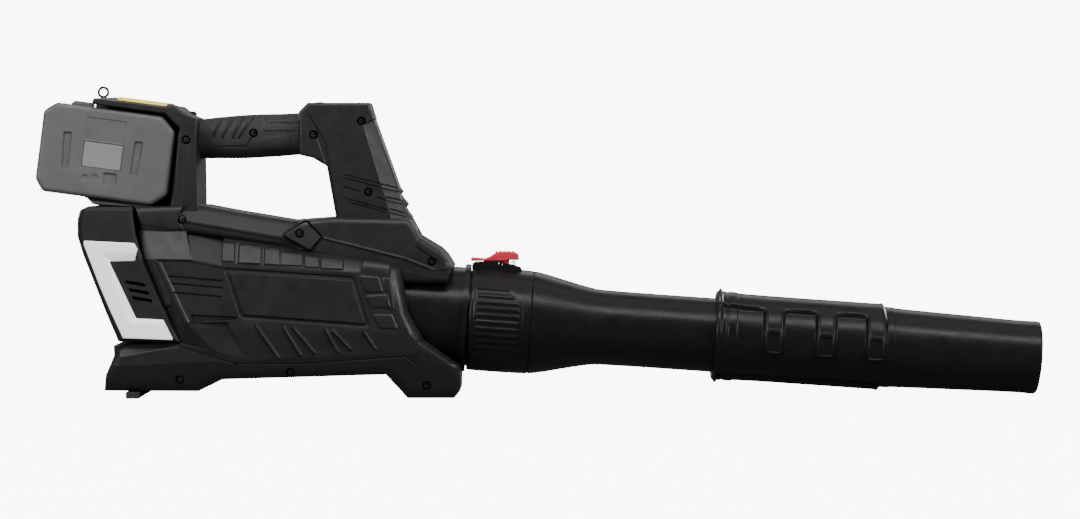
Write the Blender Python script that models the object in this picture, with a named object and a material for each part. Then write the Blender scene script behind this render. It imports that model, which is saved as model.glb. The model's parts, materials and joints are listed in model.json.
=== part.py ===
"""Cordless handheld leaf blower, at rest on its feet.

+X runs towards the outlet, +Z up, and the machine's middle plane is Y = 0. The origin is on the
ground, under the middle of the machine's length. Lengths are in metres.
"""

import math

import bmesh
import bpy
from mathutils import Matrix, Vector

# ---- driving dimensions -------------------------------------------------------------------------
GAP = 0.0003  # between pieces that touch
WALL = 0.003  # moulded shells
SPLIT = 0.00015  # half of the seam between the two housing shells

BODY_HALF = 0.056  # half widths of the housing, from the fan body up to the handle
BEAM_HALF = 0.044
BAY_HALF = 0.038
POST_HALF = 0.024
GRIP_HALF = 0.0165
COVER_HALF = 0.054
CORE_RIM = 0.0045  # chamfer of the handle's core
TRIM_THICK = 0.0025
HOUSING_RIM = 0.007  # chamfers along the sides of the fan body, the beam and the post
BEAM_RIM = 0.004
POST_RIM = 0.003
GRIP_RIM = 0.006

TUBE_TILT = math.radians(4.0)  # the blow tube points down
TUBE_HEIGHT = 0.0612  # height of the tube's axis above the origin
DUCT_R = 0.043
DUCT_BORE_R = 0.0385
SPIGOT_R = 0.0408
FAN_R = 0.0378
FAN_BLADES = 9
STATOR_VANES = 7
SHAFT_R = 0.0026
COLLAR_R = 0.0442
TUBE_R = 0.0315
SLEEVE_R = 0.0343
TRACK_R = 0.0374
TIP_R = 0.0307
TUBE_WALL = 0.0026
NOZZLE_WALL = 0.0021
SPRING_WIRE_R = 0.00035

PACK_TILT = math.radians(7.5)  # the battery slides off rearwards and up
PACK_CENTRE = (-0.3641, 0.2047)  # x, z
PACK_LONG = 0.1115
PACK_HIGH = 0.0755
PACK_NEAR = -0.036  # y of the pack's outer face
PACK_SEAM = 0.004  # y of the seam between the pack's case and its lid
PACK_FAR = 0.024  # y of the deck that faces the bay's side plate
RAIL_NEAR = 0.0260  # heights of the two rails above and below the pack's middle
RAIL_MID = 0.0298
RAIL_FAR = 0.0330
CONTACT_ROWS = (-0.008, 0.0, 0.008)
ROOF_FALL = math.radians(14)  # the roof over the pack falls towards the sides
ROOF_CREST = 0.0484
ROOF_FLAT_HALF = 0.024

SCREW_HEAD_R = 0.003
SCREW_SHANK_R = 0.0016
BOSS_R = 0.0046
SCREW_DEPTH = 0.005  # from the side face down to the head
SCREW_TIP = 0.009  # how far the shank passes the middle plane

# Side outlines of the housing, as x, z
BODY_OUTLINE = [
    (-0.3395, 0.1605), (-0.3365, 0.1375), (-0.3330, 0.1250), (-0.3130, 0.0775), (-0.3000, 0.0475),
    (-0.3560, 0.0450), (-0.3557, 0.0365), (-0.3634, 0.0194), (-0.3650, 0.0065), (-0.2860, 0.0061),
    (-0.2657, 0.0162), (-0.1290, 0.0203), (-0.1110, 0.0), (-0.0720, 0.0), (-0.0670, 0.0060),
    (-0.0668, 0.0270), (-0.0970, 0.0496), (-0.1100, 0.0730), (-0.1160, 0.1120), (-0.1830, 0.1230),
    (-0.2670, 0.1380), (-0.3100, 0.1500),
]
BODY_CAVITY = [
    (-0.3450, 0.1220), (-0.3000, 0.1345), (-0.2670, 0.1300), (-0.2130, 0.1233), (-0.1500, 0.1100),
    (-0.1240, 0.1060), (-0.1130, 0.0700), (-0.1020, 0.0535), (-0.0700, 0.0300), (-0.0700, 0.0070),
    (-0.0740, 0.0030), (-0.1095, 0.0030), (-0.1275, 0.0233), (-0.2670, 0.0193), (-0.2870, 0.0092),
    (-0.3615, 0.0092), (-0.3525, 0.0360), (-0.3525, 0.0420), (-0.2960, 0.0440), (-0.2960, 0.0600),
    (-0.3220, 0.0620),
]
BEAM_OUTLINE = [
    (-0.3395, 0.1605), (-0.2830, 0.1620), (-0.2530, 0.1564), (-0.2080, 0.1490), (-0.1720, 0.1515),
    (-0.1090, 0.1500), (-0.1010, 0.1352), (-0.0840, 0.1250), (-0.0780, 0.1190), (-0.0727, 0.1100),
    (-0.0775, 0.0963), (-0.1153, 0.0963), (-0.1250, 0.1090), (-0.1830, 0.1182), (-0.2130, 0.1265),
    (-0.2975, 0.1395), (-0.3330, 0.1320),
]
POST_OUTLINE = [
    (-0.1955, 0.2480), (-0.1434, 0.2480), (-0.1390, 0.2337), (-0.1220, 0.1870), (-0.1045, 0.1445),
    (-0.1000, 0.1300), (-0.1690, 0.1360), (-0.1720, 0.1520), (-0.1795, 0.1947), (-0.1910, 0.2014),
    (-0.2030, 0.2042), (-0.2030, 0.2404),
]
WALL_OUTLINE = [  # the wall between the battery bay and the finger opening
    (-0.3120, 0.2457), (-0.3050, 0.2453), (-0.2970, 0.2386), (-0.2875, 0.2345), (-0.2866, 0.1560),
    (-0.3110, 0.1560), (-0.3080, 0.1706), (-0.3020, 0.2266), (-0.3136, 0.2383),
]
WALL_CAVITY = [(-0.2985, 0.2250), (-0.2930, 0.2330), (-0.2905, 0.2310), (-0.2905, 0.1620), (-0.3040, 0.1620)]
TONGUE_OUTLINE = [  # the shelf under the battery
    (-0.3794, 0.1681), (-0.3745, 0.1630), (-0.3660, 0.1611), (-0.3390, 0.1611), (-0.3385, 0.1560),
    (-0.3070, 0.1540), (-0.3070, 0.1586),
]
ROOF_OUTLINE = [  # in the battery's frame
    (-0.0160, 0.0402), (-0.0155, 0.0450), (0.0010, 0.0483), (0.0480, 0.0483), (0.0560, 0.0440),
    (0.0560, 0.0350), (0.0480, 0.0402),
]
GRIP_TOP = [(-0.2840, 0.2346), (-0.2700, 0.2362), (-0.2380, 0.2385), (-0.2050, 0.2396)]
GRIP_BOTTOM = [(-0.2840, 0.2010), (-0.2500, 0.2010), (-0.2207, 0.2027), (-0.2050, 0.2042)]
COVER_OUTLINE = [
    (-0.3398, 0.1605), (-0.3823, 0.1607), (-0.3885, 0.1575), (-0.3904, 0.1505), (-0.3905, 0.1360),
    (-0.3859, 0.1207), (-0.3657, 0.0688), (-0.3570, 0.0485), (-0.3003, 0.0479), (-0.3133, 0.0775),
    (-0.3333, 0.1250), (-0.3368, 0.1375),
]
COVER_CAVITY = [
    (-0.3850, 0.1570), (-0.3873, 0.1360), (-0.3828, 0.1210), (-0.3550, 0.0515), (-0.2900, 0.0510),
    (-0.3050, 0.0775), (-0.3250, 0.1250), (-0.3300, 0.1570),
]
TRIM_OUTLINE = [
    (-0.3470, 0.0515), (-0.3585, 0.0766), (-0.3670, 0.0970), (-0.3795, 0.1300), (-0.3790, 0.1328),
    (-0.3376, 0.1307), (-0.3347, 0.1257), (-0.3372, 0.1160), (-0.3585, 0.1157), (-0.3362, 0.0681),
    (-0.3135, 0.0669), (-0.3050, 0.0500),
]
SCREWS = [  # name, x, z, half width of the housing there
    ("wall", -0.2960, 0.2166, BAY_HALF),
    ("grip", -0.2416, 0.2225, GRIP_HALF),
    ("post_rear", -0.1904, 0.2210, POST_HALF),
    ("post_front", -0.1502, 0.2325, POST_HALF),
    ("post_low", -0.1444, 0.1730, POST_HALF),
    ("beam", -0.2007, 0.1385, BEAM_HALF),
    ("lip", -0.0903, 0.1150, BEAM_HALF),
    ("bay", -0.2989, 0.1500, BEAM_HALF),
    ("rear_foot", -0.3008, 0.0165, BODY_HALF),
    ("rail", -0.2086, 0.0228, BODY_HALF),
    ("front_foot", -0.0947, 0.0114, BODY_HALF),
]

# Stations along the tube's axis, counted from above the origin
GUARD_S = -0.2115
DUCT_REAR_S = -0.206
FAN_REAR_S = -0.196
FAN_FRONT_S = -0.166
HUB_REAR_S = -0.160
HUB_FRONT_S = -0.110
FLANGE_S = -0.0660
COLLAR_REAR_S = -0.060
SPIGOT_FRONT_S = -0.036
COLLAR_FRONT_S = -0.008
CONE_FRONT_S = 0.052
NOZZLE_REAR_S = 0.148
TUBE_FRONT_S = 0.212
SLEEVE_FRONT_S = 0.296
NOZZLE_FRONT_S = 0.4235
FINGER_STARTS = (0.192, 0.236, 0.280)
FINGER_WIDE = 0.0155

LATCH_PIN = (-0.0336, 0.1114)  # x, z
PIN_R = 0.0017
CHEEK_OUTLINE = [
    (-0.0576, 0.1078), (-0.0576, 0.1120), (-0.0550, 0.1132), (-0.0330, 0.1136), (-0.0160, 0.1085),
    (-0.0150, 0.1047),
]
LEVER_OUTLINE = [
    (-0.0586, 0.1141), (-0.0586, 0.1173), (-0.0467, 0.1161), (-0.0425, 0.1178), (-0.0382, 0.1207),
    (-0.0340, 0.1222), (-0.0221, 0.1218), (-0.0185, 0.1200), (-0.0174, 0.1148), (-0.0255, 0.1150),
    (-0.0290, 0.1141),
]
LEVER_WEB = [  # round the pin, counted from it
    (-0.0140, 0.0040), (-0.0140, 0.0010), (-0.0020, -0.0029), (0.0020, -0.0029), (0.0075, 0.0000),
    (0.0075, 0.0045),
]
DIAL_CENTRE = (-0.1865, 0.2391)
DIAL_R = 0.010
RING_STEM_X = -0.3702
RING_CENTRE_Z = 0.2571
RING_R = 0.0041
RING_WIRE_R = 0.0011


# ---- scene and materials ------------------------------------------------------------------------
def clear_scene():
    for old in list(bpy.data.objects):
        bpy.data.objects.remove(old, do_unlink=True)


def material(name, colour, roughness, metallic=0.0):
    made = bpy.data.materials.new(name)
    made.use_nodes = True
    shader = made.node_tree.nodes["Principled BSDF"]
    shader.inputs["Base Color"].default_value = (*colour, 1.0)
    shader.inputs["Roughness"].default_value = roughness
    shader.inputs["Metallic"].default_value = metallic
    return made


def make_materials():
    return {
        "housing": material("housing_black", (0.022, 0.022, 0.024), 0.5),
        "tube": material("tube_black", (0.012, 0.012, 0.013), 0.3),
        "grip": material("grip_rubber", (0.03, 0.03, 0.032), 0.85),
        "trim": material("trim_silver", (0.75, 0.76, 0.77), 0.35),
        "pack": material("pack_grey", (0.13, 0.13, 0.135), 0.6),
        "plate": material("plate_light", (0.33, 0.33, 0.33), 0.6),
        "yellow": material("plate_yellow", (0.75, 0.62, 0.16), 0.5),
        "red": material("control_red", (0.55, 0.03, 0.04), 0.4),
        "steel": material("steel", (0.4, 0.4, 0.4), 0.3, 1.0),
        "copper": material("copper", (0.6, 0.3, 0.15), 0.4, 1.0),
        "cell": material("cell_blue", (0.05, 0.2, 0.35), 0.5),
        "board": material("board_green", (0.02, 0.12, 0.06), 0.5),
    }


# ---- mesh helpers -------------------------------------------------------------------------------
def finish(name, bm, mat, matrix=None):
    """A mesh object from bm, with faces out and round faces smooth."""
    bmesh.ops.recalc_face_normals(bm, faces=bm.faces)
    mesh = bpy.data.meshes.new(name)
    bm.to_mesh(mesh)
    bm.free()
    mesh.shade_smooth()
    mesh.set_sharp_from_angle(angle=math.radians(35))
    mesh.materials.append(mat)
    obj = bpy.data.objects.new(name, mesh)
    bpy.context.collection.objects.link(obj)
    if matrix is not None:
        obj.matrix_world = matrix
    return obj


def helper(obj):
    """Marks a cutter, or a shape joined to another, so it isn't a piece of its own."""
    obj.hide_render = True
    obj.display_type = "WIRE"
    return obj


def combine(target, tool, operation):
    modifier = target.modifiers.new(operation.lower() + "_" + tool.name, "BOOLEAN")
    modifier.operation = operation
    modifier.object = helper(tool)


def cut(target, *tools):
    for tool in tools:
        combine(target, tool, "DIFFERENCE")


def join(target, *tools):
    for tool in tools:
        combine(target, tool, "UNION")


def add_prism(bm, outline, near, far):
    """Extrudes an x, z outline along Y from near to far."""
    corners = [bm.verts.new((x, near, z)) for x, z in outline]
    face = bm.faces.new(corners)
    grown = bmesh.ops.extrude_face_region(bm, geom=[face], use_keep_orig=True)["geom"]
    moved = [item for item in grown if isinstance(item, bmesh.types.BMVert)]
    bmesh.ops.translate(bm, verts=moved, vec=(0.0, far - near, 0.0))


def lies_at(edge, ends):
    """Whether the whole edge is in one of the planes Y = end."""
    return any(all(abs(vert.co.y - end) < 1e-6 for vert in edge.verts) for end in ends)


def prism(name, outline, near, far, mat, rim=0.0, matrix=None, both_rims=False):
    """A prism whose rim at far, and at near too if both_rims is set, is chamfered by rim."""
    bm = bmesh.new()
    add_prism(bm, outline, near, far)
    if rim:
        ends = (near, far) if both_rims else (far,)
        edges = [edge for edge in bm.edges if lies_at(edge, ends)]
        bmesh.ops.bevel(bm, geom=edges, offset=rim, segments=1, affect="EDGES", clamp_overlap=True)
    return finish(name, bm, mat, matrix)


def block(name, low, high, mat, matrix=None):
    bm = bmesh.new()
    add_block(bm, low, high)
    return finish(name, bm, mat, matrix)


def add_block(bm, low, high, place=Matrix()):
    size = Vector(high) - Vector(low)
    middle = (Vector(high) + Vector(low)) / 2
    scale = Matrix.Diagonal((*size, 1.0))
    bmesh.ops.create_cube(bm, size=1.0, matrix=place @ Matrix.Translation(middle) @ scale)


def add_turned(bm, profile, segments, axis=(1.0, 0.0, 0.0), centre=(0.0, 0.0, 0.0), phase=0.0):
    """Spins (along, radius) points round an axis. Points on the axis become flat end caps."""
    along = Vector(axis)
    out = Matrix.Rotation(phase, 3, along) @ Vector((0.0, 0.0, 1.0))
    origin = Vector(centre)
    verts = [bm.verts.new(origin + along * s + out * r) for s, r in profile if r]
    closed = len(verts) == len(profile)
    ends = verts[1:] + verts[:1] if closed else verts[1:]
    swept = verts + [bm.edges.new(pair) for pair in zip(verts, ends)]
    bmesh.ops.spin(bm, geom=swept, cent=origin, axis=along, angle=math.tau, steps=segments, use_merge=True)
    bmesh.ops.remove_doubles(bm, verts=bm.verts, dist=1e-7)
    bmesh.ops.holes_fill(bm, edges=[edge for edge in bm.edges if edge.is_boundary])


def turned(name, profile, segments, mat, matrix=None, axis=(1.0, 0.0, 0.0), centre=(0.0, 0.0, 0.0)):
    bm = bmesh.new()
    add_turned(bm, profile, segments, axis, centre)
    return finish(name, bm, mat, matrix)


def rod(name, radius, half_long, mat, matrix):
    """A round bar along Y."""
    loop = [(-half_long, 0.0), (-half_long, radius), (half_long, radius), (half_long, 0.0)]
    return turned(name, loop, 12, mat, matrix, axis=(0.0, 1.0, 0.0))


def ring_profile(start, end, inner, outer):
    return [(start, inner), (start, outer), (end, outer), (end, inner)]


def arc_wedge(bm, start, end, inner, outer, first, last, steps):
    """A block that follows a tube's wall between two angles, counted from the top towards -Y."""
    rings = []
    for step in range(steps + 1):
        angle = first + (last - first) * step / steps
        out = Vector((0.0, -math.sin(angle), math.cos(angle)))
        along = (start, end)
        rings.append([bm.verts.new(Vector((s, 0.0, 0.0)) + out * r) for s in along for r in (inner, outer)])
    for a, b in zip(rings, rings[1:]):
        for i, j in ((0, 1), (1, 3), (3, 2), (2, 0)):
            bm.faces.new((a[i], a[j], b[j], b[i]))
    bm.faces.new([rings[0][i] for i in (0, 2, 3, 1)])
    bm.faces.new([rings[-1][i] for i in (0, 1, 3, 2)])


def inset(outline, distance):
    """The outline moved inwards by distance."""
    area = sum(a[0] * b[1] - b[0] * a[1] for a, b in zip(outline, outline[1:] + outline[:1]))
    side = 1.0 if area > 0 else -1.0
    moved = []
    for before, here, after in zip(outline[-1:] + outline[:-1], outline, outline[1:] + outline[:1]):
        first = (Vector(here) - Vector(before)).normalized()
        second = (Vector(after) - Vector(here)).normalized()
        normal = (first.orthogonal() + second.orthogonal()) * side
        reach = distance / (1.0 + first.dot(second))
        moved.append(tuple(Vector(here) + normal * reach))
    return moved


def span(sign, near, far):
    """Two distances to one side of zero, in rising order."""
    return sorted((sign * near, sign * far))


# ---- places -------------------------------------------------------------------------------------
def tube_matrix(station=0.0):
    """The tube's axis as local X, with the local origin at the station."""
    turn = Matrix.Rotation(TUBE_TILT, 4, "Y")
    return Matrix.Translation((0.0, 0.0, TUBE_HEIGHT)) @ turn @ Matrix.Translation((station, 0.0, 0.0))


def pin_matrix():
    """The latch pin's frame."""
    return Matrix.Translation((LATCH_PIN[0], 0.0, LATCH_PIN[1]))


def pack_matrix():
    """The battery's frame: local X along its slide, towards the outlet, and local Z across it."""
    turn = Matrix.Rotation(PACK_TILT, 4, "Y")
    return Matrix.Translation((PACK_CENTRE[0], 0.0, PACK_CENTRE[1])) @ turn


# ---- housing ------------------------------------------------------------------------------------
def screw_profile(half, head_r, shank_r, recess, length):
    """Along Y from the side face at -half: a recess, then a hole for the shank."""
    head = -half + SCREW_DEPTH
    start = -half - recess
    return [(start, 0.0), (start, head_r), (head, head_r), (head, shank_r), (length, shank_r), (length, 0.0)]


def screw_holes(mat):
    bm = bmesh.new()
    for _, x, z, half in SCREWS:
        profile = screw_profile(half, SCREW_HEAD_R + 0.0006, SCREW_SHANK_R + GAP, 0.004, 0.0095)
        add_turned(bm, profile, 10, axis=(0.0, 1.0, 0.0), centre=(x, 0.0, z))
    return finish("cut_screws", bm, mat)


def screw_bosses(side, mat):
    """Posts that carry the screws inside one shell."""
    near = side * 0.0006
    bm = bmesh.new()
    for _, x, z, half in SCREWS:
        wall = side * (half - (0.0055 if half == GRIP_HALF else 0.0015))
        loop = [(near, 0.0), (near, BOSS_R), (wall, BOSS_R), (wall, 0.0)]
        add_turned(bm, loop, 8, axis=(0.0, 1.0, 0.0), centre=(x, 0.0, z), phase=0.13)
    return finish(f"bosses_{side}", bm, mat)


def grip_band(depth, start, end):
    """The handle's side outline, thinned by depth and run from start to end along X."""
    top = [(start, GRIP_TOP[0][1])] + GRIP_TOP[1:-1] + [(end, GRIP_TOP[-1][1])]
    bottom = [(start, GRIP_BOTTOM[0][1])] + GRIP_BOTTOM[1:-1] + [(end, GRIP_BOTTOM[-1][1])]
    return [(x, z - depth) for x, z in top] + [(x, z + depth) for x, z in reversed(bottom)]


def bay_blocks(side, mat):
    """The roof and the tongue that hold the battery above and below."""
    near = side * SPLIT
    place = pack_matrix()
    roof = prism(f"roof_{side}", ROOF_OUTLINE, near, side * BAY_HALF, mat, matrix=place)
    above = [(-0.060, 0.0), (-0.060, 0.012), (0.090, 0.012), (0.090, 0.0)]
    fall = (
        place
        @ Matrix.Translation((0.0, side * ROOF_FLAT_HALF, ROOF_CREST))
        @ Matrix.Rotation(-side * ROOF_FALL, 4, "X")
    )
    slope = prism(f"roof_slope_{side}", above, 0.0, side * 0.036, mat, matrix=fall)
    tongue = prism(f"tongue_{side}", TONGUE_OUTLINE, near, side * BAY_HALF, mat)
    return roof, slope, tongue


def side_plate(mat):
    """The left wall of the battery bay, with the two rails that carry the battery."""
    place = pack_matrix()
    inner = PACK_FAR + 2 * GAP
    plate = block("bay_plate", (-0.0150, inner, -0.0405), (0.0640, BAY_HALF - 0.0005, 0.0425), mat, place)
    rails = []
    for sign in (-1, 1):
        low, high = span(sign, RAIL_MID - 0.0003, RAIL_FAR)
        web_far = inner + 0.002
        rails.append(block(f"rail_web_{sign}", (-0.0140, 0.0160, low), (0.0600, web_far, high), mat, place))
        low, high = span(sign, RAIL_NEAR, RAIL_MID + 0.0002)
        rails.append(block(f"rail_lip_{sign}", (-0.0130, 0.0163, low), (0.0590, 0.0190, high), mat, place))
    pocket = block("cut_contacts", (0.0180, 0.0200, -0.0130), (0.0520, 0.0350, 0.0130), mat, place)
    return plate, rails, pocket


def housing(side, mat, holes):
    """One shell of the clam-shell housing: side is -1 for the right one and +1 for the left one."""
    near = side * SPLIT
    name = "housing_right" if side < 0 else "housing_left"
    shell = prism(name, BODY_OUTLINE, near, side * BODY_HALF, mat, rim=HOUSING_RIM)
    beam = prism(f"beam_{side}", BEAM_OUTLINE, near, side * BEAM_HALF, mat, rim=BEAM_RIM)
    post = prism(f"post_{side}", POST_OUTLINE, near, side * POST_HALF, mat, rim=POST_RIM)
    wall = prism(f"wall_{side}", WALL_OUTLINE, near, side * BAY_HALF, mat, rim=0.0015)
    core_outline = grip_band(WALL + GAP, -0.2900, -0.1990)
    core = prism(f"core_{side}", core_outline, near, side * (GRIP_HALF - WALL - GAP), mat, rim=CORE_RIM)
    roof, slope, tongue = bay_blocks(side, mat)
    cut(roof, slope)
    join(shell, beam, post, wall, core, roof, tongue)

    beyond = -side * 0.002
    cavities = [
        prism(f"cavity_body_{side}", BODY_CAVITY, beyond, side * (BODY_HALF - WALL), mat, rim=0.005),
        prism(f"cavity_beam_{side}", inset(BEAM_OUTLINE, WALL), beyond, side * (BEAM_HALF - WALL), mat),
        prism(f"cavity_post_{side}", inset(POST_OUTLINE, WALL), beyond, side * (POST_HALF - WALL), mat),
        prism(f"cavity_wall_{side}", WALL_CAVITY, beyond, side * (BAY_HALF - WALL), mat),
        prism(
            f"cavity_core_{side}",
            grip_band(2 * WALL + GAP, -0.2950, -0.1950), beyond, side * (GRIP_HALF - 2 * WALL), mat,
        ),
    ]
    cut(shell, *cavities)
    if side > 0:
        plate, rails, pocket = side_plate(mat)
        join(shell, plate, *rails)
        cut(shell, pocket)
    join(shell, screw_bosses(side, mat))
    cut(shell, holes)
    return shell


def duct_space(mat):
    """The round space that holds the fan duct and opens at the housing's front."""
    rear = GUARD_S - 0.0015
    flange = FLANGE_S - 0.0005
    loop = [
        (rear, 0.0), (rear, DUCT_R + 0.0005), (flange, DUCT_R + 0.0005), (flange, DUCT_R + 0.0034),
        (-0.045, DUCT_R + 0.0034), (-0.045, 0.0),
    ]
    return turned("cut_duct", loop, 32, mat, tube_matrix())


def fit_housing(shells, mats):
    """Openings that both shells share."""
    space = duct_space(mats["housing"])
    slot = block(
        "cut_dial",
        (DIAL_CENTRE[0] - 0.0092, -0.0048, 0.2420), (DIAL_CENTRE[0] + 0.0092, 0.0048, 0.2520),
        mats["housing"],
    )
    stem = turned(
        "cut_stem", [(0.0, 0.0), (0.0, 0.0016), (0.0075, 0.0016), (0.0075, 0.0)], 12, mats["housing"],
        Matrix.Translation((RING_STEM_X, 0.0, 0.2475)) @ Matrix.Rotation(-math.pi / 2, 4, "Y"),
    )
    for shell in shells:
        cut(shell, space, slot, stem)


def rear_cover(mats):
    """The cap behind the motor bay, open towards the body, with its air slots."""
    half, mat = COVER_HALF, mats["housing"]
    cover = prism("rear_cover", COVER_OUTLINE, -half, half, mat, rim=0.003, both_rims=True)
    cut(cover, prism("cavity_cover", COVER_CAVITY, WALL - half, half - WALL, mat))
    slots = bmesh.new()
    for row in range(3):  # side slots
        x = -0.3485 + row * 0.0028
        z = 0.1000 - row * 0.0066
        outline = [(x, z), (x + 0.0185, z - 0.0029), (x + 0.0192, z - 0.0057), (x + 0.0009, z - 0.0029)]
        add_prism(slots, outline, -0.070, 0.070)
    cut(cover, finish("cut_side_slots", slots, mat))
    grille = bmesh.new()
    for row in range(7):  # air inlet in the rear face
        z = 0.0760 + row * 0.0072
        add_block(grille, (-0.4000, -0.030, z), (-0.3540, 0.030, z + 0.0035))
    cut(cover, finish("cut_rear_slots", grille, mat))


def trims(mats):
    inner = COVER_HALF + GAP
    for side, name in ((-1, "trim_right"), (1, "trim_left")):
        prism(name, TRIM_OUTLINE, side * inner, side * (inner + TRIM_THICK), mats["trim"], rim=0.0008)


def grips(mats, holes):
    """The two soft shells that wrap the handle's core."""
    ends = (GRIP_TOP[0][0], GRIP_TOP[-1][0])
    for side, name in ((-1, "grip_right"), (1, "grip_left")):
        shell = prism(name, grip_band(0.0, *ends), side * SPLIT, side * GRIP_HALF, mats["grip"], rim=GRIP_RIM)
        band = grip_band(WALL, -0.2900, -0.1990)
        inner = side * (GRIP_HALF - WALL)
        cut(shell, prism(f"hollow_{name}", band, -side * 0.002, inner, mats["grip"], rim=CORE_RIM))
        if side < 0:
            cut(shell, holes)


def screws(mats):
    for name, x, z, half in SCREWS:
        head = -half + SCREW_DEPTH - GAP
        top = head - 0.0024
        loop = [
            (top, 0.0), (top, SCREW_HEAD_R), (head, SCREW_HEAD_R), (head, SCREW_SHANK_R),
            (SCREW_TIP - 0.0015, SCREW_SHANK_R), (SCREW_TIP, 0.0004), (SCREW_TIP, 0.0),
        ]
        place = Matrix.Translation((x, 0.0, z))
        turned(f"screw_{name}", loop, 10, mats["steel"], place, axis=(0.0, 1.0, 0.0))


def feet(mats):
    for side, name in ((-1, "foot_pad_right"), (1, "foot_pad_left")):
        low, high = span(side, 0.0060, 0.0440)
        pad = block(name, (-0.3468, low, 0.0), (-0.3351, high, 0.0059), mats["grip"])
        soften = pad.modifiers.new("soft_edges", "BEVEL")
        soften.width = 0.0008
        soften.segments = 1


def roof_label(mats):
    place = pack_matrix()
    block("roof_label", (0.0044, -0.0225, 0.0486), (0.0455, 0.0225, 0.0493), mats["yellow"], place)


def strap_ring(mats):
    """A small steel eye that turns on its stem."""
    place = Matrix.Translation((RING_STEM_X, 0.0, 0.0))
    section = [
        (RING_WIRE_R * math.sin(math.tau * j / 6), RING_R + RING_WIRE_R * math.cos(math.tau * j / 6))
        for j in range(6)
    ]
    bm = bmesh.new()
    add_turned(bm, section, 16, axis=(0.0, 1.0, 0.0), centre=(0.0, 0.0, RING_CENTRE_Z))
    eye = finish("strap_ring", bm, mats["steel"], place)
    loop = [(0.2480, 0.0), (0.2480, 0.0012), (0.2532, 0.0012), (0.2532, 0.0)]
    stem = turned("ring_stem", loop, 12, mats["steel"], place @ Matrix.Rotation(-math.pi / 2, 4, "Y"))
    join(eye, stem)


# ---- fan unit -----------------------------------------------------------------------------------
def fan_duct(mats):
    """The tunnel, its stator vanes and the motor's hub, as one moulding."""
    loop = [
        (DUCT_REAR_S, 0.0412), (DUCT_REAR_S, DUCT_R), (FLANGE_S, DUCT_R), (FLANGE_S, DUCT_R + 0.0028),
        (COLLAR_REAR_S - 0.0015, DUCT_R + 0.0028), (COLLAR_REAR_S - 0.0015, SPIGOT_R),
        (SPIGOT_FRONT_S, SPIGOT_R), (SPIGOT_FRONT_S, DUCT_BORE_R), (DUCT_REAR_S + 0.008, DUCT_BORE_R),
    ]
    duct = turned("fan_duct", loop, 32, mats["tube"], tube_matrix())
    vanes = bmesh.new()
    middle = -0.138
    for i in range(STATOR_VANES):
        place = (
            Matrix.Rotation(math.tau * i / STATOR_VANES, 4, "X")
            @ Matrix.Translation((middle, 0.0, 0.0))
            @ Matrix.Rotation(math.radians(12), 4, "Z")
        )
        add_block(vanes, (-0.018, -0.001, 0.0200), (0.018, 0.001, 0.0400), place)
    vanes_obj = finish("stator_vanes", vanes, mats["tube"], tube_matrix())
    hub_loop = [
        (HUB_REAR_S, 0.0084), (HUB_REAR_S, 0.0215), (HUB_FRONT_S, 0.0215), (HUB_FRONT_S, 0.0194),
        (HUB_REAR_S + 0.005, 0.0194), (HUB_REAR_S + 0.005, 0.0084),
    ]
    hub = turned("motor_hub", hub_loop, 24, mats["tube"], tube_matrix())
    join(duct, hub, vanes_obj)


def motor(mats):
    place = tube_matrix()
    rings = {
        "motor_can": ring_profile(HUB_REAR_S + 0.0053, HUB_FRONT_S - 0.001, 0.0125, 0.0191),
        "bearing_rear": ring_profile(HUB_REAR_S + 0.0002, HUB_REAR_S + 0.0050, SHAFT_R + GAP, 0.0081),
        "bearing_front": ring_profile(HUB_FRONT_S + 0.0012, HUB_FRONT_S + 0.0050, SHAFT_R + GAP, 0.0070),
    }
    for name, loop in rings.items():
        turned(name, loop, 24, mats["steel"], place)
    cone = [
        (-0.1000, 0.0), (-0.1000, 0.0045), (-0.1047, 0.0045), (-0.1047, 0.0073), (-0.1097, 0.0073),
        (-0.1097, 0.0212), (-0.0980, 0.0205), (-0.0800, 0.0155), (-0.0640, 0.0070), (-0.0610, 0.0030),
        (-0.0610, 0.0),
    ]
    turned("tail_cone", cone, 20, mats["tube"], place)


def rotor(mats):
    """The fan, its shaft, the magnets and the nut, which turn together."""
    place = tube_matrix(FAN_FRONT_S)
    shaft = [(-0.0370, 0.0), (-0.0370, SHAFT_R), (0.0640, SHAFT_R), (0.0640, 0.0)]
    turned("motor_shaft", shaft, 16, mats["steel"], place)
    turned("rotor_magnets", ring_profile(0.0160, 0.0500, SHAFT_R + GAP, 0.0120), 24, mats["steel"], place)
    turned("fan_nut", ring_profile(-0.0345, -0.0305, 0.0034, 0.0056), 6, mats["steel"], place)
    rear = FAN_REAR_S - FAN_FRONT_S
    bore = SHAFT_R + GAP
    hub = [(rear, bore), (rear, 0.0070), (-0.0240, 0.0135), (-0.0120, 0.0185), (0.0, 0.0205), (0.0, bore)]
    fan = turned("fan_impeller", hub, 20, mats["pack"], place)
    blades = bmesh.new()
    for i in range(FAN_BLADES):
        add_blade(blades, math.tau * i / FAN_BLADES)
    join(fan, finish("fan_blades", blades, mats["pack"], place))


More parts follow.
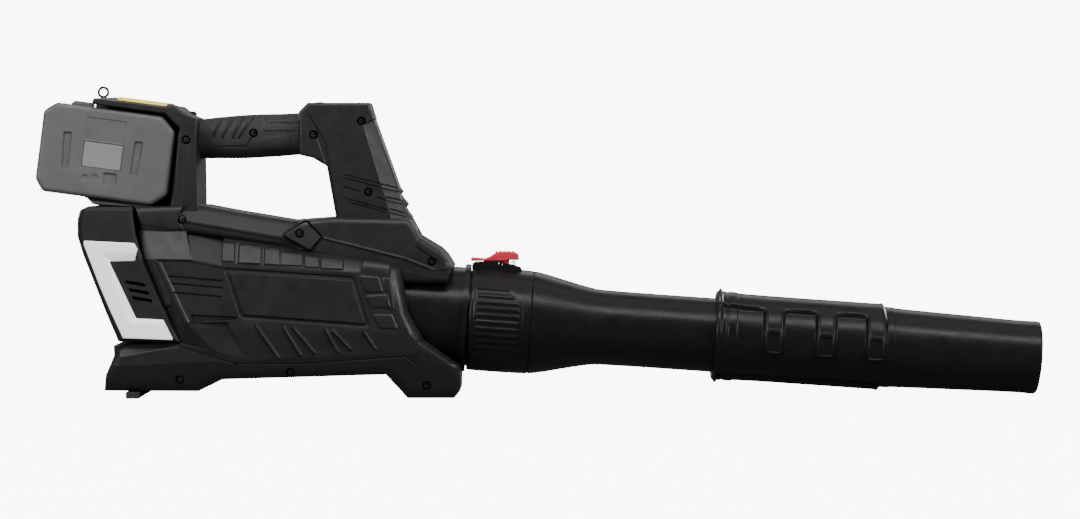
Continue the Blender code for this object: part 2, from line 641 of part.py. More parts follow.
def add_blade(bm, start):
    """One fan blade from the hub out to the tip, twisted on the way, at an angle round the shaft."""
    root, middle, half_thick, steps = 0.0115, -0.0128, 0.0009, 4
    rows = []
    for step in range(steps + 1):
        share = step / steps
        radius = root + (FAN_R - root) * share
        pitch = math.radians(32 + 30 * share)
        chord = 0.0135 if share else 0.0110
        row = []
        for end in (-1, 1):
            along = middle + end * chord * math.cos(pitch) * 0.9
            turn = start + end * chord * math.sin(pitch) * 0.62 / radius + math.radians(8) * share
            for face in (-1, 1):
                angle = turn + face * half_thick / radius
                row.append(bm.verts.new((along, radius * math.sin(angle), radius * math.cos(angle))))
        rows.append(row)
    for a, b in zip(rows, rows[1:]):
        for j, k in ((0, 1), (1, 3), (3, 2), (2, 0)):
            bm.faces.new((a[j], a[k], b[k], b[j]))
    bm.faces.new([rows[0][j] for j in (0, 2, 3, 1)])
    bm.faces.new([rows[-1][j] for j in (0, 1, 3, 2)])


def intake_guard(mats):
    place = tube_matrix()
    end = DUCT_REAR_S - GAP
    mat = mats["housing"]
    guard = turned("intake_guard", ring_profile(GUARD_S, end, 0.0400, 0.0428), 32, mat, place)
    middle = turned("guard_ring", ring_profile(GUARD_S + 0.001, end - 0.0015, 0.0240, 0.0258), 24, mat, place)
    eye = turned("guard_eye", ring_profile(GUARD_S + 0.001, end - 0.0015, 0.0085, 0.0105), 16, mat, place)
    spokes = bmesh.new()
    for i in range(6):
        turn = Matrix.Rotation(math.tau * i / 6, 4, "X")
        add_block(spokes, (GUARD_S + 0.0016, -0.0008, 0.0095), (end - 0.0020, 0.0008, 0.0410), turn)
    join(guard, finish("guard_spokes", spokes, mat, place), middle, eye)


def controller(mats):
    """The motor controller under its finned plate, on the housing's floor."""
    rear, front, floor, deck, top = -0.2950, -0.2400, 0.0225, 0.0300, 0.0390
    fin_count, fin_thick = 6, 0.003
    pitch = (front - rear - fin_thick) / (fin_count - 1)
    outline = [(rear, floor), (front, floor)]
    for i in range(fin_count):
        right = front - i * pitch
        left = right - fin_thick
        outline += [(right, deck), (right, top), (left, top), (left, deck)]
    prism("controller_board", outline[:2] + outline[3:-1], -0.0240, 0.0240, mats["board"])


# ---- tube and nozzle ----------------------------------------------------------------------------
def rear_tube(mats):
    loop = [
        (COLLAR_REAR_S, SPIGOT_R + 0.0004), (COLLAR_REAR_S, COLLAR_R - 0.001),
        (COLLAR_REAR_S + 0.002, COLLAR_R),
        (COLLAR_FRONT_S - 0.004, COLLAR_R), (COLLAR_FRONT_S + 0.012, COLLAR_R - 0.0030),
        (CONE_FRONT_S - 0.012, TUBE_R + 0.0018), (CONE_FRONT_S, TUBE_R), (TUBE_FRONT_S, TUBE_R),
        (TUBE_FRONT_S, TUBE_R - TUBE_WALL), (CONE_FRONT_S, TUBE_R - TUBE_WALL),
        (COLLAR_FRONT_S + 0.004, DUCT_BORE_R), (SPIGOT_FRONT_S + 0.001, DUCT_BORE_R),
        (SPIGOT_FRONT_S + 0.001, SPIGOT_R + 0.0004),
    ]
    tube = turned("rear_tube", loop, 32, mats["tube"], tube_matrix())
    for side in (-1, 1):
        join(tube, prism(f"cheek_{side}", CHEEK_OUTLINE, side * 0.0062, side * 0.0090, mats["tube"]))
    cut(tube, rod("cut_pin", PIN_R + 2 * GAP, 0.020, mats["tube"], pin_matrix()))
    lugs = bmesh.new()  # they run in the nozzle's channels
    for turn in (0.0, math.pi):
        first, last = math.radians(-4) + turn, math.radians(14) + turn
        arc_wedge(lugs, 0.196, 0.204, TUBE_R - 0.001, TUBE_R + 0.0018, first, last, 3)
    join(tube, finish("tube_lugs", lugs, mats["tube"], tube_matrix()))


def latch(mats):
    place = pin_matrix()
    outline = [(x - LATCH_PIN[0], z - LATCH_PIN[1]) for x, z in LEVER_OUTLINE]
    lever = prism("latch_lever", outline, -0.0085, 0.0085, mats["red"], matrix=place)
    join(lever, prism("latch_web", LEVER_WEB, -0.0058, 0.0058, mats["red"], matrix=place))
    cut(lever, rod("cut_lever", PIN_R + GAP, 0.020, mats["red"], place))
    rod("latch_pin", PIN_R, 0.0095, mats["steel"], place)


def latch_spring(mats):
    """The coil spring under the lever's front end."""
    curve = bpy.data.curves.new("latch_spring", "CURVE")
    curve.dimensions = "3D"
    curve.bevel_depth = SPRING_WIRE_R
    curve.bevel_resolution = 1
    curve.use_fill_caps = True
    turns, per_turn = 4, 8
    x, radius, low, high = -0.0225, 0.0021, 0.1078, 0.1140
    spline = curve.splines.new("POLY")
    spline.points.add(turns * per_turn)
    for i, point in enumerate(spline.points):
        angle = math.tau * i / per_turn
        rise = (high - low) * i / (turns * per_turn)
        point.co = (x + radius * math.cos(angle), radius * math.sin(angle), low + rise, 1.0)
    curve.materials.append(mats["steel"])
    bpy.context.collection.objects.link(bpy.data.objects.new("latch_spring", curve))


def nozzle(mats):
    """The telescoping front tube, with a stepped track on two sides for the rear tube's lugs."""
    rear = NOZZLE_REAR_S
    band = SLEEVE_R + 0.0012
    inner = SLEEVE_R - NOZZLE_WALL
    loop = [
        (rear, inner), (rear, TRACK_R - 0.0006), (rear + 0.001, TRACK_R), (rear + 0.0035, TRACK_R),
        (rear + 0.0045, band), (rear + 0.017, band), (rear + 0.018, SLEEVE_R), (SLEEVE_FRONT_S, SLEEVE_R),
        (NOZZLE_FRONT_S, TIP_R), (NOZZLE_FRONT_S, TIP_R - 0.0025),
        (SLEEVE_FRONT_S + 0.012, SLEEVE_R - 0.0030), (SLEEVE_FRONT_S + 0.010, inner),
    ]
    place = tube_matrix()
    tube = turned("nozzle", loop, 32, mats["tube"], place)
    channel = bmesh.new()
    fingers = bmesh.new()
    grooves = bmesh.new()
    root = SLEEVE_R - 0.001
    for turn in (0.0, math.pi):
        first, last = math.radians(-22) + turn, math.radians(35) + turn
        arc_wedge(channel, rear + 0.002, SLEEVE_FRONT_S - 0.006, root, TRACK_R, first, last, 4)
        first, last = math.radians(30) + turn, math.radians(106) + turn
        for start in FINGER_STARTS:
            arc_wedge(fingers, start, start + FINGER_WIDE, root, TRACK_R - 0.0002, first, last, 6)
        first, last = math.radians(-12) + turn, math.radians(24) + turn
        arc_wedge(grooves, rear - 0.01, SLEEVE_FRONT_S, SLEEVE_R - 0.004, SLEEVE_R + 0.0006, first, last, 3)
    join(tube, finish("nozzle_channel", channel, mats["tube"], place))
    join(tube, finish("nozzle_fingers", fingers, mats["tube"], place))
    cut(tube, finish("cut_grooves", grooves, mats["tube"], place))


# ---- battery and controls -----------------------------------------------------------------------
def pack_outline(shrink=0.0):
    """The pack's side face, with a cut corner at each end, in the battery's frame."""
    a = PACK_LONG / 2 - shrink
    b = PACK_HIGH / 2 - shrink
    return [
        (-a, -b + 0.010), (-a + 0.007, -b), (a - 0.013, -b), (a, -b + 0.010), (a, b - 0.012), (a - 0.012, b),
        (-a + 0.010, b), (-a, b - 0.008),
    ]


def battery(mats):
    place = pack_matrix()
    mat = mats["pack"]
    case = prism("battery_case", pack_outline(), PACK_SEAM, PACK_NEAR, mat, rim=0.0025, matrix=place)
    cut(case, prism("cut_case", pack_outline(0.0025), 0.010, PACK_NEAR + 0.003, mat, matrix=place))
    recess = block("cut_label", (-0.0135, -0.040, -0.0135), (0.0195, PACK_NEAR + 0.0008, 0.0115), mat, place)
    cut(case, recess)
    low, high = (-0.0130, PACK_NEAR + 0.0002, -0.0130), (0.0190, PACK_NEAR + 0.0006, 0.0110)
    block("battery_label", low, high, mats["plate"], place)
    cells = block(
        "battery_cells",
        (-0.0480, PACK_NEAR + 0.0040, -0.0325), (0.0460, PACK_SEAM - 0.002, 0.0325), mats["cell"], place,
    )
    soften = cells.modifiers.new("round_cells", "BEVEL")
    soften.width = 0.008
    soften.segments = 2
    battery_button(case, mats)


def battery_button(case, mats):
    place = pack_matrix()
    mat = mats["pack"]
    outline = [(-0.0360, 0.0381), (-0.0325, 0.0412), (-0.0205, 0.0412), (-0.0180, 0.0381)]
    button = prism("battery_button", outline, -0.0210, 0.0010, mat, matrix=place)
    join(button, block("button_foot", (-0.0350, -0.0200, 0.0372), (-0.0190, 0.0000, 0.0385), mat, place))
    cut(case, block("cut_button", (-0.0364, -0.0214, 0.0340), (-0.0176, 0.0014, 0.0450), mat, place))


def battery_lid(mats):
    """The pack's far half, with the deck that slides on the rails and takes the contact blades."""
    place = pack_matrix()
    mat = mats["pack"]
    lid = prism("battery_lid", pack_outline(), PACK_SEAM + GAP, 0.0140, mat, rim=0.0020, matrix=place)
    front = PACK_LONG / 2 - 0.001
    join(lid, block("lid_deck", (-0.0450, 0.0120, -0.0290), (front, PACK_FAR, 0.0290), mat, place))
    grooves = bmesh.new()
    for sign in (-1, 1):
        low, high = span(sign, RAIL_NEAR - 0.0005, RAIL_FAR)
        add_block(grooves, (-0.0300, 0.0150, low), (0.0700, 0.0200, high))
    for b in CONTACT_ROWS:
        add_block(grooves, (0.0100, 0.0150, b - 0.0015), (0.0700, 0.0300, b + 0.0015))
    cut(lid, finish("cut_lid", grooves, mat, place))


def terminal_block(mats):
    """The carrier in the bay's side plate, with one blade for each contact."""
    place = pack_matrix()
    mat = mats["housing"]
    low, high = (0.0190, PACK_FAR + 0.0010, -0.0120), (0.0510, 0.0340, 0.0120)
    carrier = block("terminal_block", low, high, mat, place)
    blades = bmesh.new()
    for b in CONTACT_ROWS:
        add_block(blades, (0.0220, 0.0165, b - 0.0005), (0.0480, 0.0270, b + 0.0005))
    join(carrier, finish("contact_blades", blades, mats["copper"], place))


def speed_control(mats):
    x, z = DIAL_CENTRE
    place = Matrix.Translation((x, 0.0, z))
    bore, shoulder = 0.0024, DIAL_R - 0.0006
    rim = [
        (-0.0040, bore), (-0.0040, shoulder), (-0.0034, DIAL_R), (0.0034, DIAL_R), (0.0040, shoulder),
        (0.0040, bore),
    ]
    dial = turned("speed_dial", rim, 20, mats["red"], place, axis=(0.0, 1.0, 0.0))
    cut(dial, block("cut_key", (-0.0010, 0.0, 0.0), (0.0010, 0.0060, 0.0032), mats["red"], place))
    sensor = block("dial_sensor", (-0.0065, 0.0055, -0.0075), (0.0065, 0.0150, 0.0050), mats["board"], place)
    spindle = [(-0.0036, 0.0), (-0.0036, 0.0021), (0.0070, 0.0021), (0.0070, 0.0)]
    join(sensor, turned("sensor_spindle", spindle, 12, mats["steel"], place, axis=(0.0, 1.0, 0.0)))


# ---- assembly -----------------------------------------------------------------------------------
def build():
    clear_scene()
    mats = make_materials()
    holes = screw_holes(mats["housing"])
    shells = [housing(side, mats["housing"], holes) for side in (-1, 1)]
    fit_housing(shells, mats)
    rear_cover(mats)
    trims(mats)
    grips(mats, holes)
    screws(mats)
    feet(mats)
    roof_label(mats)
    strap_ring(mats)
    fan_duct(mats)
    motor(mats)
    rotor(mats)
    intake_guard(mats)
    controller(mats)
    rear_tube(mats)
    latch(mats)
    latch_spring(mats)
    nozzle(mats)
    battery(mats)
    battery_lid(mats)
    terminal_block(mats)
    speed_control(mats)


build()
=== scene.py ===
"""The looks of the cordless leaf blower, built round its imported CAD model.

Sides of the housing are reliefs: a side outline filled with a net of triangles, whose height comes
from a list of features such as folds, panels, grooves and rounded edges. The tube and the nozzle
are the same thing wrapped round their axis. Lengths are in metres.
"""

import json
import math

import bmesh
import bpy
import numpy as np
from mathutils import Matrix, Vector
from mathutils.geometry import delaunay_2d_cdt


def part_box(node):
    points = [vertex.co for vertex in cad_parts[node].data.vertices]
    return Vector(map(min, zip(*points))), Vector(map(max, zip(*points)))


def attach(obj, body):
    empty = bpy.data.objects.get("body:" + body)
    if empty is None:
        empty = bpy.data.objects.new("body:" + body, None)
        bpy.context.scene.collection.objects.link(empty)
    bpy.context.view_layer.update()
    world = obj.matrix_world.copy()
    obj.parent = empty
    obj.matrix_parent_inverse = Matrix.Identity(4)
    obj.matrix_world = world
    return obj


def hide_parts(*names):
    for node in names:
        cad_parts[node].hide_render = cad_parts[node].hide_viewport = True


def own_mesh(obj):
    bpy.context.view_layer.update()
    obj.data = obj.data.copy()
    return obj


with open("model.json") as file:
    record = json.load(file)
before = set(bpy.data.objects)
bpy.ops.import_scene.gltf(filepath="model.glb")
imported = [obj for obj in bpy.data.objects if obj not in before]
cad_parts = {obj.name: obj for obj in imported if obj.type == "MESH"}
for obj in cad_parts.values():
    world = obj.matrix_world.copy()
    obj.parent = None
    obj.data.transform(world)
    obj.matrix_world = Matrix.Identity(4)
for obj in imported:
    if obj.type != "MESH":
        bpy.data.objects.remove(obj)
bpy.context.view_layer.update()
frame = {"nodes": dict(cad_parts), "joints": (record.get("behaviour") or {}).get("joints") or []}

RIGHT, LEFT = -1, 1  # signs of Y

# ---- sizes and places from the frame ------------------------------------------------------------
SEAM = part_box("housing_left")[0].y  # half of the gap between the two shells
BODY_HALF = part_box("housing_left")[1].y
GRIP_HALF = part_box("grip_left")[1].y
COVER_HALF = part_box("rear_cover")[1].y
BEAM_HALF = 0.044
BAY_HALF = 0.038
POST_HALF = 0.024
SCREW_DEPTH = 0.005
SCREW_RECESS_R = 0.0036
STEP_BACK = 0.0002  # between the faces of overlapping layers, which may not coincide
ROOF_TURN = math.radians(14)  # the roof's slope on each side of its flat crown
CROWN_HALF = 0.0240
CROWN_TOP = 0.0484  # above the battery's middle
COVER_BOW = 0.0068  # how far forward the cover's rear comes at its sides
BOW_STEP = 0.0085  # between the lines that the bow bends at
BOW_LINES = 5  # on each side of the middle

BODY_OUTLINE = [
    (-0.3395, 0.1605), (-0.3365, 0.1375), (-0.3330, 0.1250), (-0.3130, 0.0775), (-0.3000, 0.0475),
    (-0.3560, 0.0450), (-0.3557, 0.0365), (-0.3634, 0.0194), (-0.3650, 0.0065), (-0.2860, 0.0061),
    (-0.2657, 0.0162), (-0.1290, 0.0203), (-0.1110, 0.0), (-0.0720, 0.0), (-0.0670, 0.0060),
    (-0.0668, 0.0270), (-0.0970, 0.0496), (-0.1100, 0.0730), (-0.1160, 0.1120), (-0.1830, 0.1230),
    (-0.2670, 0.1380), (-0.3100, 0.1500),
]
BEAM_OUTLINE = [
    (-0.3395, 0.1605), (-0.2830, 0.1620), (-0.2530, 0.1564), (-0.2080, 0.1490), (-0.1720, 0.1515),
    (-0.1090, 0.1500), (-0.1010, 0.1352), (-0.0840, 0.1250), (-0.0780, 0.1190), (-0.0727, 0.1100),
    (-0.0775, 0.0963), (-0.1153, 0.0963), (-0.1250, 0.1090), (-0.1830, 0.1182), (-0.2130, 0.1265),
    (-0.2975, 0.1395), (-0.3330, 0.1320),
]
POST_OUTLINE = [
    (-0.1955, 0.2480), (-0.1434, 0.2480), (-0.1390, 0.2337), (-0.1220, 0.1870), (-0.1183, 0.1764),
    (-0.1158, 0.1735), (-0.1176, 0.1705), (-0.1146, 0.1666), (-0.1112, 0.1627), (-0.1132, 0.1595),
    (-0.1104, 0.1551), (-0.1075, 0.1521), (-0.1086, 0.1495), (-0.1045, 0.1445), (-0.1000, 0.1300),
    (-0.1690, 0.1360), (-0.1720, 0.1520), (-0.1795, 0.1947), (-0.1910, 0.2014), (-0.2030, 0.2042),
    (-0.2030, 0.2404),
]
WALL_OUTLINE = [
    (-0.3120, 0.2457), (-0.3050, 0.2453), (-0.2970, 0.2386), (-0.2875, 0.2345), (-0.2866, 0.1560),
    (-0.3110, 0.1560), (-0.3080, 0.1706), (-0.3020, 0.2266), (-0.3136, 0.2383),
]
TONGUE_OUTLINE = [
    (-0.3794, 0.1681), (-0.3745, 0.1630), (-0.3660, 0.1611), (-0.3390, 0.1611), (-0.3385, 0.1560),
    (-0.3070, 0.1540), (-0.3070, 0.1586),
]
COVER_OUTLINE = [
    (-0.3398, 0.1605), (-0.3823, 0.1607), (-0.3885, 0.1575), (-0.3904, 0.1505), (-0.3905, 0.1360),
    (-0.3859, 0.1207), (-0.3657, 0.0688), (-0.3570, 0.0485), (-0.3003, 0.0479), (-0.3133, 0.0775),
    (-0.3333, 0.1250), (-0.3368, 0.1375),
]
TRIM_OUTLINE = [
    (-0.3470, 0.0515), (-0.3585, 0.0766), (-0.3670, 0.0970), (-0.3795, 0.1300), (-0.3790, 0.1328),
    (-0.3376, 0.1307), (-0.3347, 0.1257), (-0.3372, 0.1160), (-0.3585, 0.1157), (-0.3362, 0.0681),
    (-0.3135, 0.0669), (-0.3050, 0.0500),
]
GRIP_OUTLINE = [
    (-0.2873, 0.2341), (-0.2760, 0.2356), (-0.2700, 0.2362), (-0.2550, 0.2376), (-0.2380, 0.2385),
    (-0.2200, 0.2388), (-0.2025, 0.2396), (-0.2025, 0.2043), (-0.2207, 0.2027), (-0.2500, 0.2010),
    (-0.2873, 0.2010),
]
SCREWS = {  # name: (x, z, half width of the housing there)
    "wall": (-0.2960, 0.2166, BAY_HALF),
    "grip": (-0.2416, 0.2225, GRIP_HALF),
    "post_rear": (-0.1904, 0.2210, POST_HALF),
    "post_front": (-0.1502, 0.2325, POST_HALF),
    "post_low": (-0.1444, 0.1730, POST_HALF),
    "beam": (-0.2007, 0.1385, BEAM_HALF),
    "lip": (-0.0903, 0.1150, BEAM_HALF),
    "bay": (-0.2989, 0.1500, BEAM_HALF),
    "rear_foot": (-0.3008, 0.0165, BODY_HALF),
    "rail": (-0.2086, 0.0228, BODY_HALF),
    "front_foot": (-0.0947, 0.0114, BODY_HALF),
}


# ---- plane geometry -----------------------------------------------------------------------------
def neighbours(loop):
    return zip(loop[-1:] + loop[:-1], loop, loop[1:] + loop[:1])


def heading(start, end):
    """The unit vector from start to end."""
    return (Vector(end) - Vector(start)).normalized()


def inset(loop, distance):
    """The closed loop moved inwards by distance, with mitred corners."""
    area = sum(a[0] * b[1] - b[0] * a[1] for a, b in zip(loop, loop[1:] + loop[:1]))
    side = 1.0 if area > 0 else -1.0
    moved = []
    for before, here, after in neighbours(loop):
        first, second = heading(before, here), heading(here, after)
        reach = distance / max(1.0 + first.dot(second), 0.3)
        moved.append(tuple(Vector(here) + (first.orthogonal() + second.orthogonal()) * side * reach))
    return moved


def bend(start, corner, end, steps):
    """Points on a soft curve from start to end, which turns short of the corner."""
    shares = [step / steps for step in range(steps + 1)]
    return [tuple(start * (1 - t) ** 2 + corner * 2 * t * (1 - t) + end * t * t) for t in shares]


def rounded(loop, radius, steps=3):
    """The loop with every clear corner rounded off."""
    result = []
    for before, here, after in neighbours(loop):
        here = Vector(here)
        back = Vector(before) - here
        ahead = Vector(after) - here
        corner = back.angle(ahead)
        if corner > math.radians(172):
            result.append(tuple(here))
            continue
        reach = min(radius / math.tan(corner / 2), 0.42 * back.length, 0.42 * ahead.length)
        result += bend(here + back.normalized() * reach, here, here + ahead.normalized() * reach, steps)
    return result


def circle(centre, radius, steps=20):
    turns = [math.tau * i / steps for i in range(steps)]
    return [(centre[0] + radius * math.cos(t), centre[1] + radius * math.sin(t)) for t in turns]


def rectangle(low_u, low_v, high_u, high_v):
    return [(low_u, low_v), (high_u, low_v), (high_u, high_v), (low_u, high_v)]


def band(start, end, half):
    """The closed loop at half's distance round a straight line."""
    along = heading(start, end) * half
    across = along.orthogonal()
    corners = [Vector(start) - along - across, Vector(start) - along + across]
    corners += [Vector(end) + along + across, Vector(end) + along - across]
    return [tuple(corner) for corner in corners]


def depth_inside(at, loop):
    """How far each point lies inside the closed loop. Outside it, the depth is negative."""
    start = np.array(loop)
    step = np.roll(start, -1, axis=0) - start
    reach = at[:, None, :] - start[None]
    share = np.clip((reach * step).sum(2) / (step**2).sum(1), 0.0, 1.0)
    nearest = np.linalg.norm(reach - share[..., None] * step, axis=2).min(1)
    above_start = start[:, 1] > at[:, None, 1]
    above_end = (start + step)[:, 1] > at[:, None, 1]
    rise = np.where(step[:, 1] == 0, 1.0, step[:, 1])
    crossing = start[:, 0] + reach[:, :, 1] * step[:, 0] / rise
    hits = ((above_start != above_end) & (at[:, None, 0] < crossing)).sum(1)
    return np.where(hits % 2 == 1, nearest, -nearest)


# ---- features: the lines that each adds to the net, and its height at any points ----------------
def sloped_wall(loop, wall, soft):
    """A wall along the loop: its lines, and how far up it each point is, from 0 outside to 1 inside."""
    stops = (-wall / 2 - soft, -wall / 2 + soft, wall / 2 - soft, wall / 2 + soft)
    shares = (0.0, soft / wall, 1.0 - soft / wall, 1.0)
    lines = [(inset(loop, stop), True) for stop in stops]
    return lines, lambda at: np.interp(depth_inside(at, loop), stops, shares)


def patch(loop, lift, wall, soft=0.00015):
    """A raised area, or a sunk one where lift is negative, with sloped walls."""
    lines, share = sloped_wall(loop, wall, soft)
    return lines, lambda at: lift * share(at)


def groove(start, end, width=0.0009, depth=0.0006):
    """A V-shaped channel along a straight line."""
    loop = band(start, end, width / 2)
    lines = [(loop, True), ([start, end], False)]
    return lines, lambda at: -depth * np.clip(depth_inside(at, loop) / (width / 2), 0.0, 1.0)


def past_line(at, start, end):
    """How far each point lies to the left of the line from start to end."""
    along = heading(start, end)
    return (at[:, 1] - start[1]) * along.x - (at[:, 0] - start[0]) * along.y


def fold(start, end, degrees, soft=0.0007):
    """To the left of the line, the surface falls away."""
    along = heading(start, end)
    across = Vector((-along.y, along.x)) * soft
    ends = Vector(start) - along * 0.5, Vector(end) + along * 0.5
    lines = [([tuple(p + across * side) for p in ends], False) for side in (-1, 1)]
    slope = math.tan(math.radians(degrees))
    stops = (-soft, soft, 1.0)
    return lines, lambda at: -slope * np.interp(past_line(at, start, end), stops, (0.0, soft, 1.0))


def facet(loop, start, end, degrees, wall=0.0006):
    """An area that tilts inwards from a hinge line, to its left."""
    lines, share = sloped_wall(loop, wall, wall / 4)
    slope = math.tan(math.radians(degrees))
    return lines, lambda at: -slope * np.clip(past_line(at, start, end), 0.0, None) * share(at)


def dish(loop, start, end, width, depth, steps=8):
    """A hollow across the band of the given width to the left of the line, within the loop."""
    along = heading(start, end)
    across = Vector((-along.y, along.x))
    reach = along * 0.02
    lines = [(loop, True)]
    for step in range(1, steps):
        shift = across * width * step / steps
        lines.append(([tuple(Vector(start) - reach + shift), tuple(Vector(end) + reach + shift)], False))

    def height(at):
        share = np.clip(past_line(at, start, end) / width, 0.0, 1.0)
        return -depth * np.sin(math.pi * share) * np.clip(depth_inside(at, loop) / 0.002, 0.0, 1.0)

    return lines, height


def edge(outline, profile):
    """The edge along the outline. The profile gives the drop at each distance from it."""
    stops, drops = zip(*profile)
    lines = []
    for stop in stops[1:]:
        moved = np.array(inset(outline, stop))
        kept = np.abs(depth_inside(moved, outline) - stop) < 0.15 * stop + 1e-5
        lines.append(([tuple(point) for point in moved[kept]], True))
    return lines, lambda at: -np.interp(depth_inside(at, outline), stops, drops)


def round_edge(outline, wide, drop, steps=5):
    """An edge that curves down by drop over the given width."""
    profile = []
    for step in range(steps + 1):
        share = 1 - math.cos(math.pi / 2 * step / steps)
        profile.append((wide * share, drop * (1 - math.sqrt(1 - (1 - share) ** 2))))
    return edge(outline, profile)


def path_grooves(points, width, depth):
    return [groove(start, end, width, depth) for start, end in zip(points, points[1:])]


def raised_bar(start, end, half, lift, wall):
    return patch(band(start, end, half), lift, wall)


def screw_recesses(half):
    """The recesses of the screws in the layer of the given half width."""
    centres = [(x, z) for x, z, layer_half in SCREWS.values() if layer_half == half]
    return [patch(circle(centre, SCREW_RECESS_R), -SCREW_DEPTH, 0.0003, 0.00008) for centre in centres]


# ---- nets and meshes ----------------------------------------------------------------------------
IN_PLACE = Matrix()


def net(outline, features):
    """Points, heights and triangles over the outline, with the features' lines in it."""
    points, edges = [], []
    lines = [(outline, True)] + [line for feature in features for line in feature[0]]
    for line, closed in lines:
        first, count = len(points), len(line)
        points += [Vector(point) * 1000 for point in line]
        edges += [(first + i, first + (i + 1) % count) for i in range(count if closed else count - 1)]
    made = delaunay_2d_cdt(points, edges, [], 0, 1e-4)
    at = np.array([tuple(point) for point in made[0]]) / 1000
    triangles = np.array([face for face in made[2] if len(face) == 3])
    triangles = triangles[depth_inside(at[triangles].mean(1), outline) > 0]
    heights = sum(feature[1](at) for feature in features)
    return at, heights, triangles


def relief(outline, features, place):
    """The mesh of the outline's net, each point put in place by place(u, v, height)."""
    at, heights, triangles = net(outline, features)
    bm = bmesh.new()
    used = np.unique(triangles)
    verts = {i: bm.verts.new(place(at[i][0], at[i][1], heights[i])) for i in used}
    for triangle in triangles:
        bm.faces.new([verts[i] for i in triangle])
    return bm


def link_object(name, data):
    obj = bpy.data.objects.new(name, data)
    bpy.context.scene.collection.objects.link(obj)
    return obj


def mesh_of(name, bm):
    mesh = bpy.data.meshes.new(name)
    bm.to_mesh(mesh)
    bm.free()
    return mesh


def object_of(name, bm, matrix=IN_PLACE):
    bmesh.ops.recalc_face_normals(bm, faces=bm.faces)
    mesh = mesh_of(name, bm)
    mesh.transform(matrix)
    return link_object(name, mesh)


def border(bm):
    return [rim for rim in bm.edges if rim.is_boundary]


def verts_in(geometry):
    return [item for item in geometry if isinstance(item, bmesh.types.BMVert)]


def side_piece(name, outline, features, half, side, base, matrix=IN_PLACE):
    """One side of a moulding: a relief at half's distance from the middle, with walls down to base."""
    bm = relief(outline, features, lambda u, v, h: (u, side * (half + h), v))
    for vert in verts_in(bmesh.ops.extrude_edge_only(bm, edges=border(bm))["geom"]):
        vert.co.y = base
    bmesh.ops.holes_fill(bm, edges=border(bm))
    return object_of(name, bm, matrix)


def remove(*objects):
    for obj in objects:
        bpy.data.objects.remove(obj, do_unlink=True)


def cut(tool, *targets):
    """Takes the tool's shape out of each target, and removes the tool."""
    for target in targets:
        modifier = target.modifiers.new("cut", "BOOLEAN")
        modifier.operation = "DIFFERENCE"
        modifier.object = tool
        bpy.context.view_layer.update()
        graph = bpy.context.evaluated_depsgraph_get()
        result = bpy.data.meshes.new_from_object(target.evaluated_get(graph))
        target.modifiers.clear()
        target.data = result
    remove(tool)


def merge(name, parts):
    """One object made of the parts, which are removed."""
    graph = bpy.context.evaluated_depsgraph_get()
    bm = bmesh.new()
    for part in parts:
        mesh = bpy.data.meshes.new_from_object(part.evaluated_get(graph))
        mesh.transform(part.matrix_world)
        bm.from_mesh(mesh)
    remove(*parts)
    return link_object(name, mesh_of(name, bm))


def soft_edges(obj, width, segments=2):
    modifier = obj.modifiers.new("soft_edges", "BEVEL")
    modifier.width = width
    modifier.segments = segments
    modifier.limit_method = "ANGLE"
    modifier.angle_limit = math.radians(30)
    modifier.use_clamp_overlap = True


def finish(obj, body, material, node, sharp=42):
    """Shades the piece, hangs it on the body that it rides on, and hides the CAD node that it stands for."""
    obj.data.shade_smooth()
    obj.data.set_sharp_from_angle(angle=math.radians(sharp))
    weights = obj.modifiers.new("even_normals", "WEIGHTED_NORMAL")
    weights.keep_sharp = True
    weights.weight = 90
    obj.data.materials.clear()
    obj.data.materials.append(MATERIALS[material])
    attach(obj, body)
    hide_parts(node)


def box_mesh(name, low, high, matrix=IN_PLACE):
    bm = bmesh.new()
    size = Vector(high) - Vector(low)
    middle = (Vector(high) + Vector(low)) / 2
    place = Matrix.Translation(middle) @ Matrix.Diagonal((*size, 1.0))
    bmesh.ops.create_cube(bm, size=1.0, matrix=place)
    return object_of(name, bm, matrix)


def swept(name, loop, shift, matrix=IN_PLACE):
    """The solid between the closed loop of points and the same loop shifted."""
    bm = bmesh.new()
    face = bm.faces.new([bm.verts.new(point) for point in loop])
    grown = bmesh.ops.extrude_face_region(bm, geom=[face], use_keep_orig=True)["geom"]
    bmesh.ops.translate(bm, verts=verts_in(grown), vec=shift)
    return object_of(name, bm, matrix)


def prism(name, outline, near, far, matrix=IN_PLACE):
    """The solid whose side view is the outline, from near to far along Y."""
    return swept(name, [(u, near, v) for u, v in outline], (0.0, far - near, 0.0), matrix)


def turned(name, profile, segments, matrix, axis="X"):
    """(along, radius) points spun round an axis. Both ends are on it, and become flat caps."""
    bm = bmesh.new()
    along = Vector([float(letter == axis) for letter in "XYZ"])
    verts = [bm.verts.new(along * s + Vector((0.0, 0.0, r))) for s, r in profile[1:-1]]
    line = verts + [bm.edges.new(pair) for pair in zip(verts, verts[1:])]
    spun = {"cent": (0.0, 0.0, 0.0), "axis": along, "angle": math.tau, "steps": segments}
    bmesh.ops.spin(bm, geom=line, use_merge=True, **spun)
    bmesh.ops.remove_doubles(bm, verts=bm.verts, dist=1e-7)
    bmesh.ops.holes_fill(bm, edges=border(bm))
    return object_of(name, bm, matrix)


# ---- round pieces, wrapped about a local X axis -------------------------------------------------
WRAP_R = 0.036  # radius at which a relief's second coordinate is a true length
SEAM_TURN = math.radians(-216)  # angles count from the top towards -Y


def turn_at(degrees):
    return math.radians(degrees) * WRAP_R


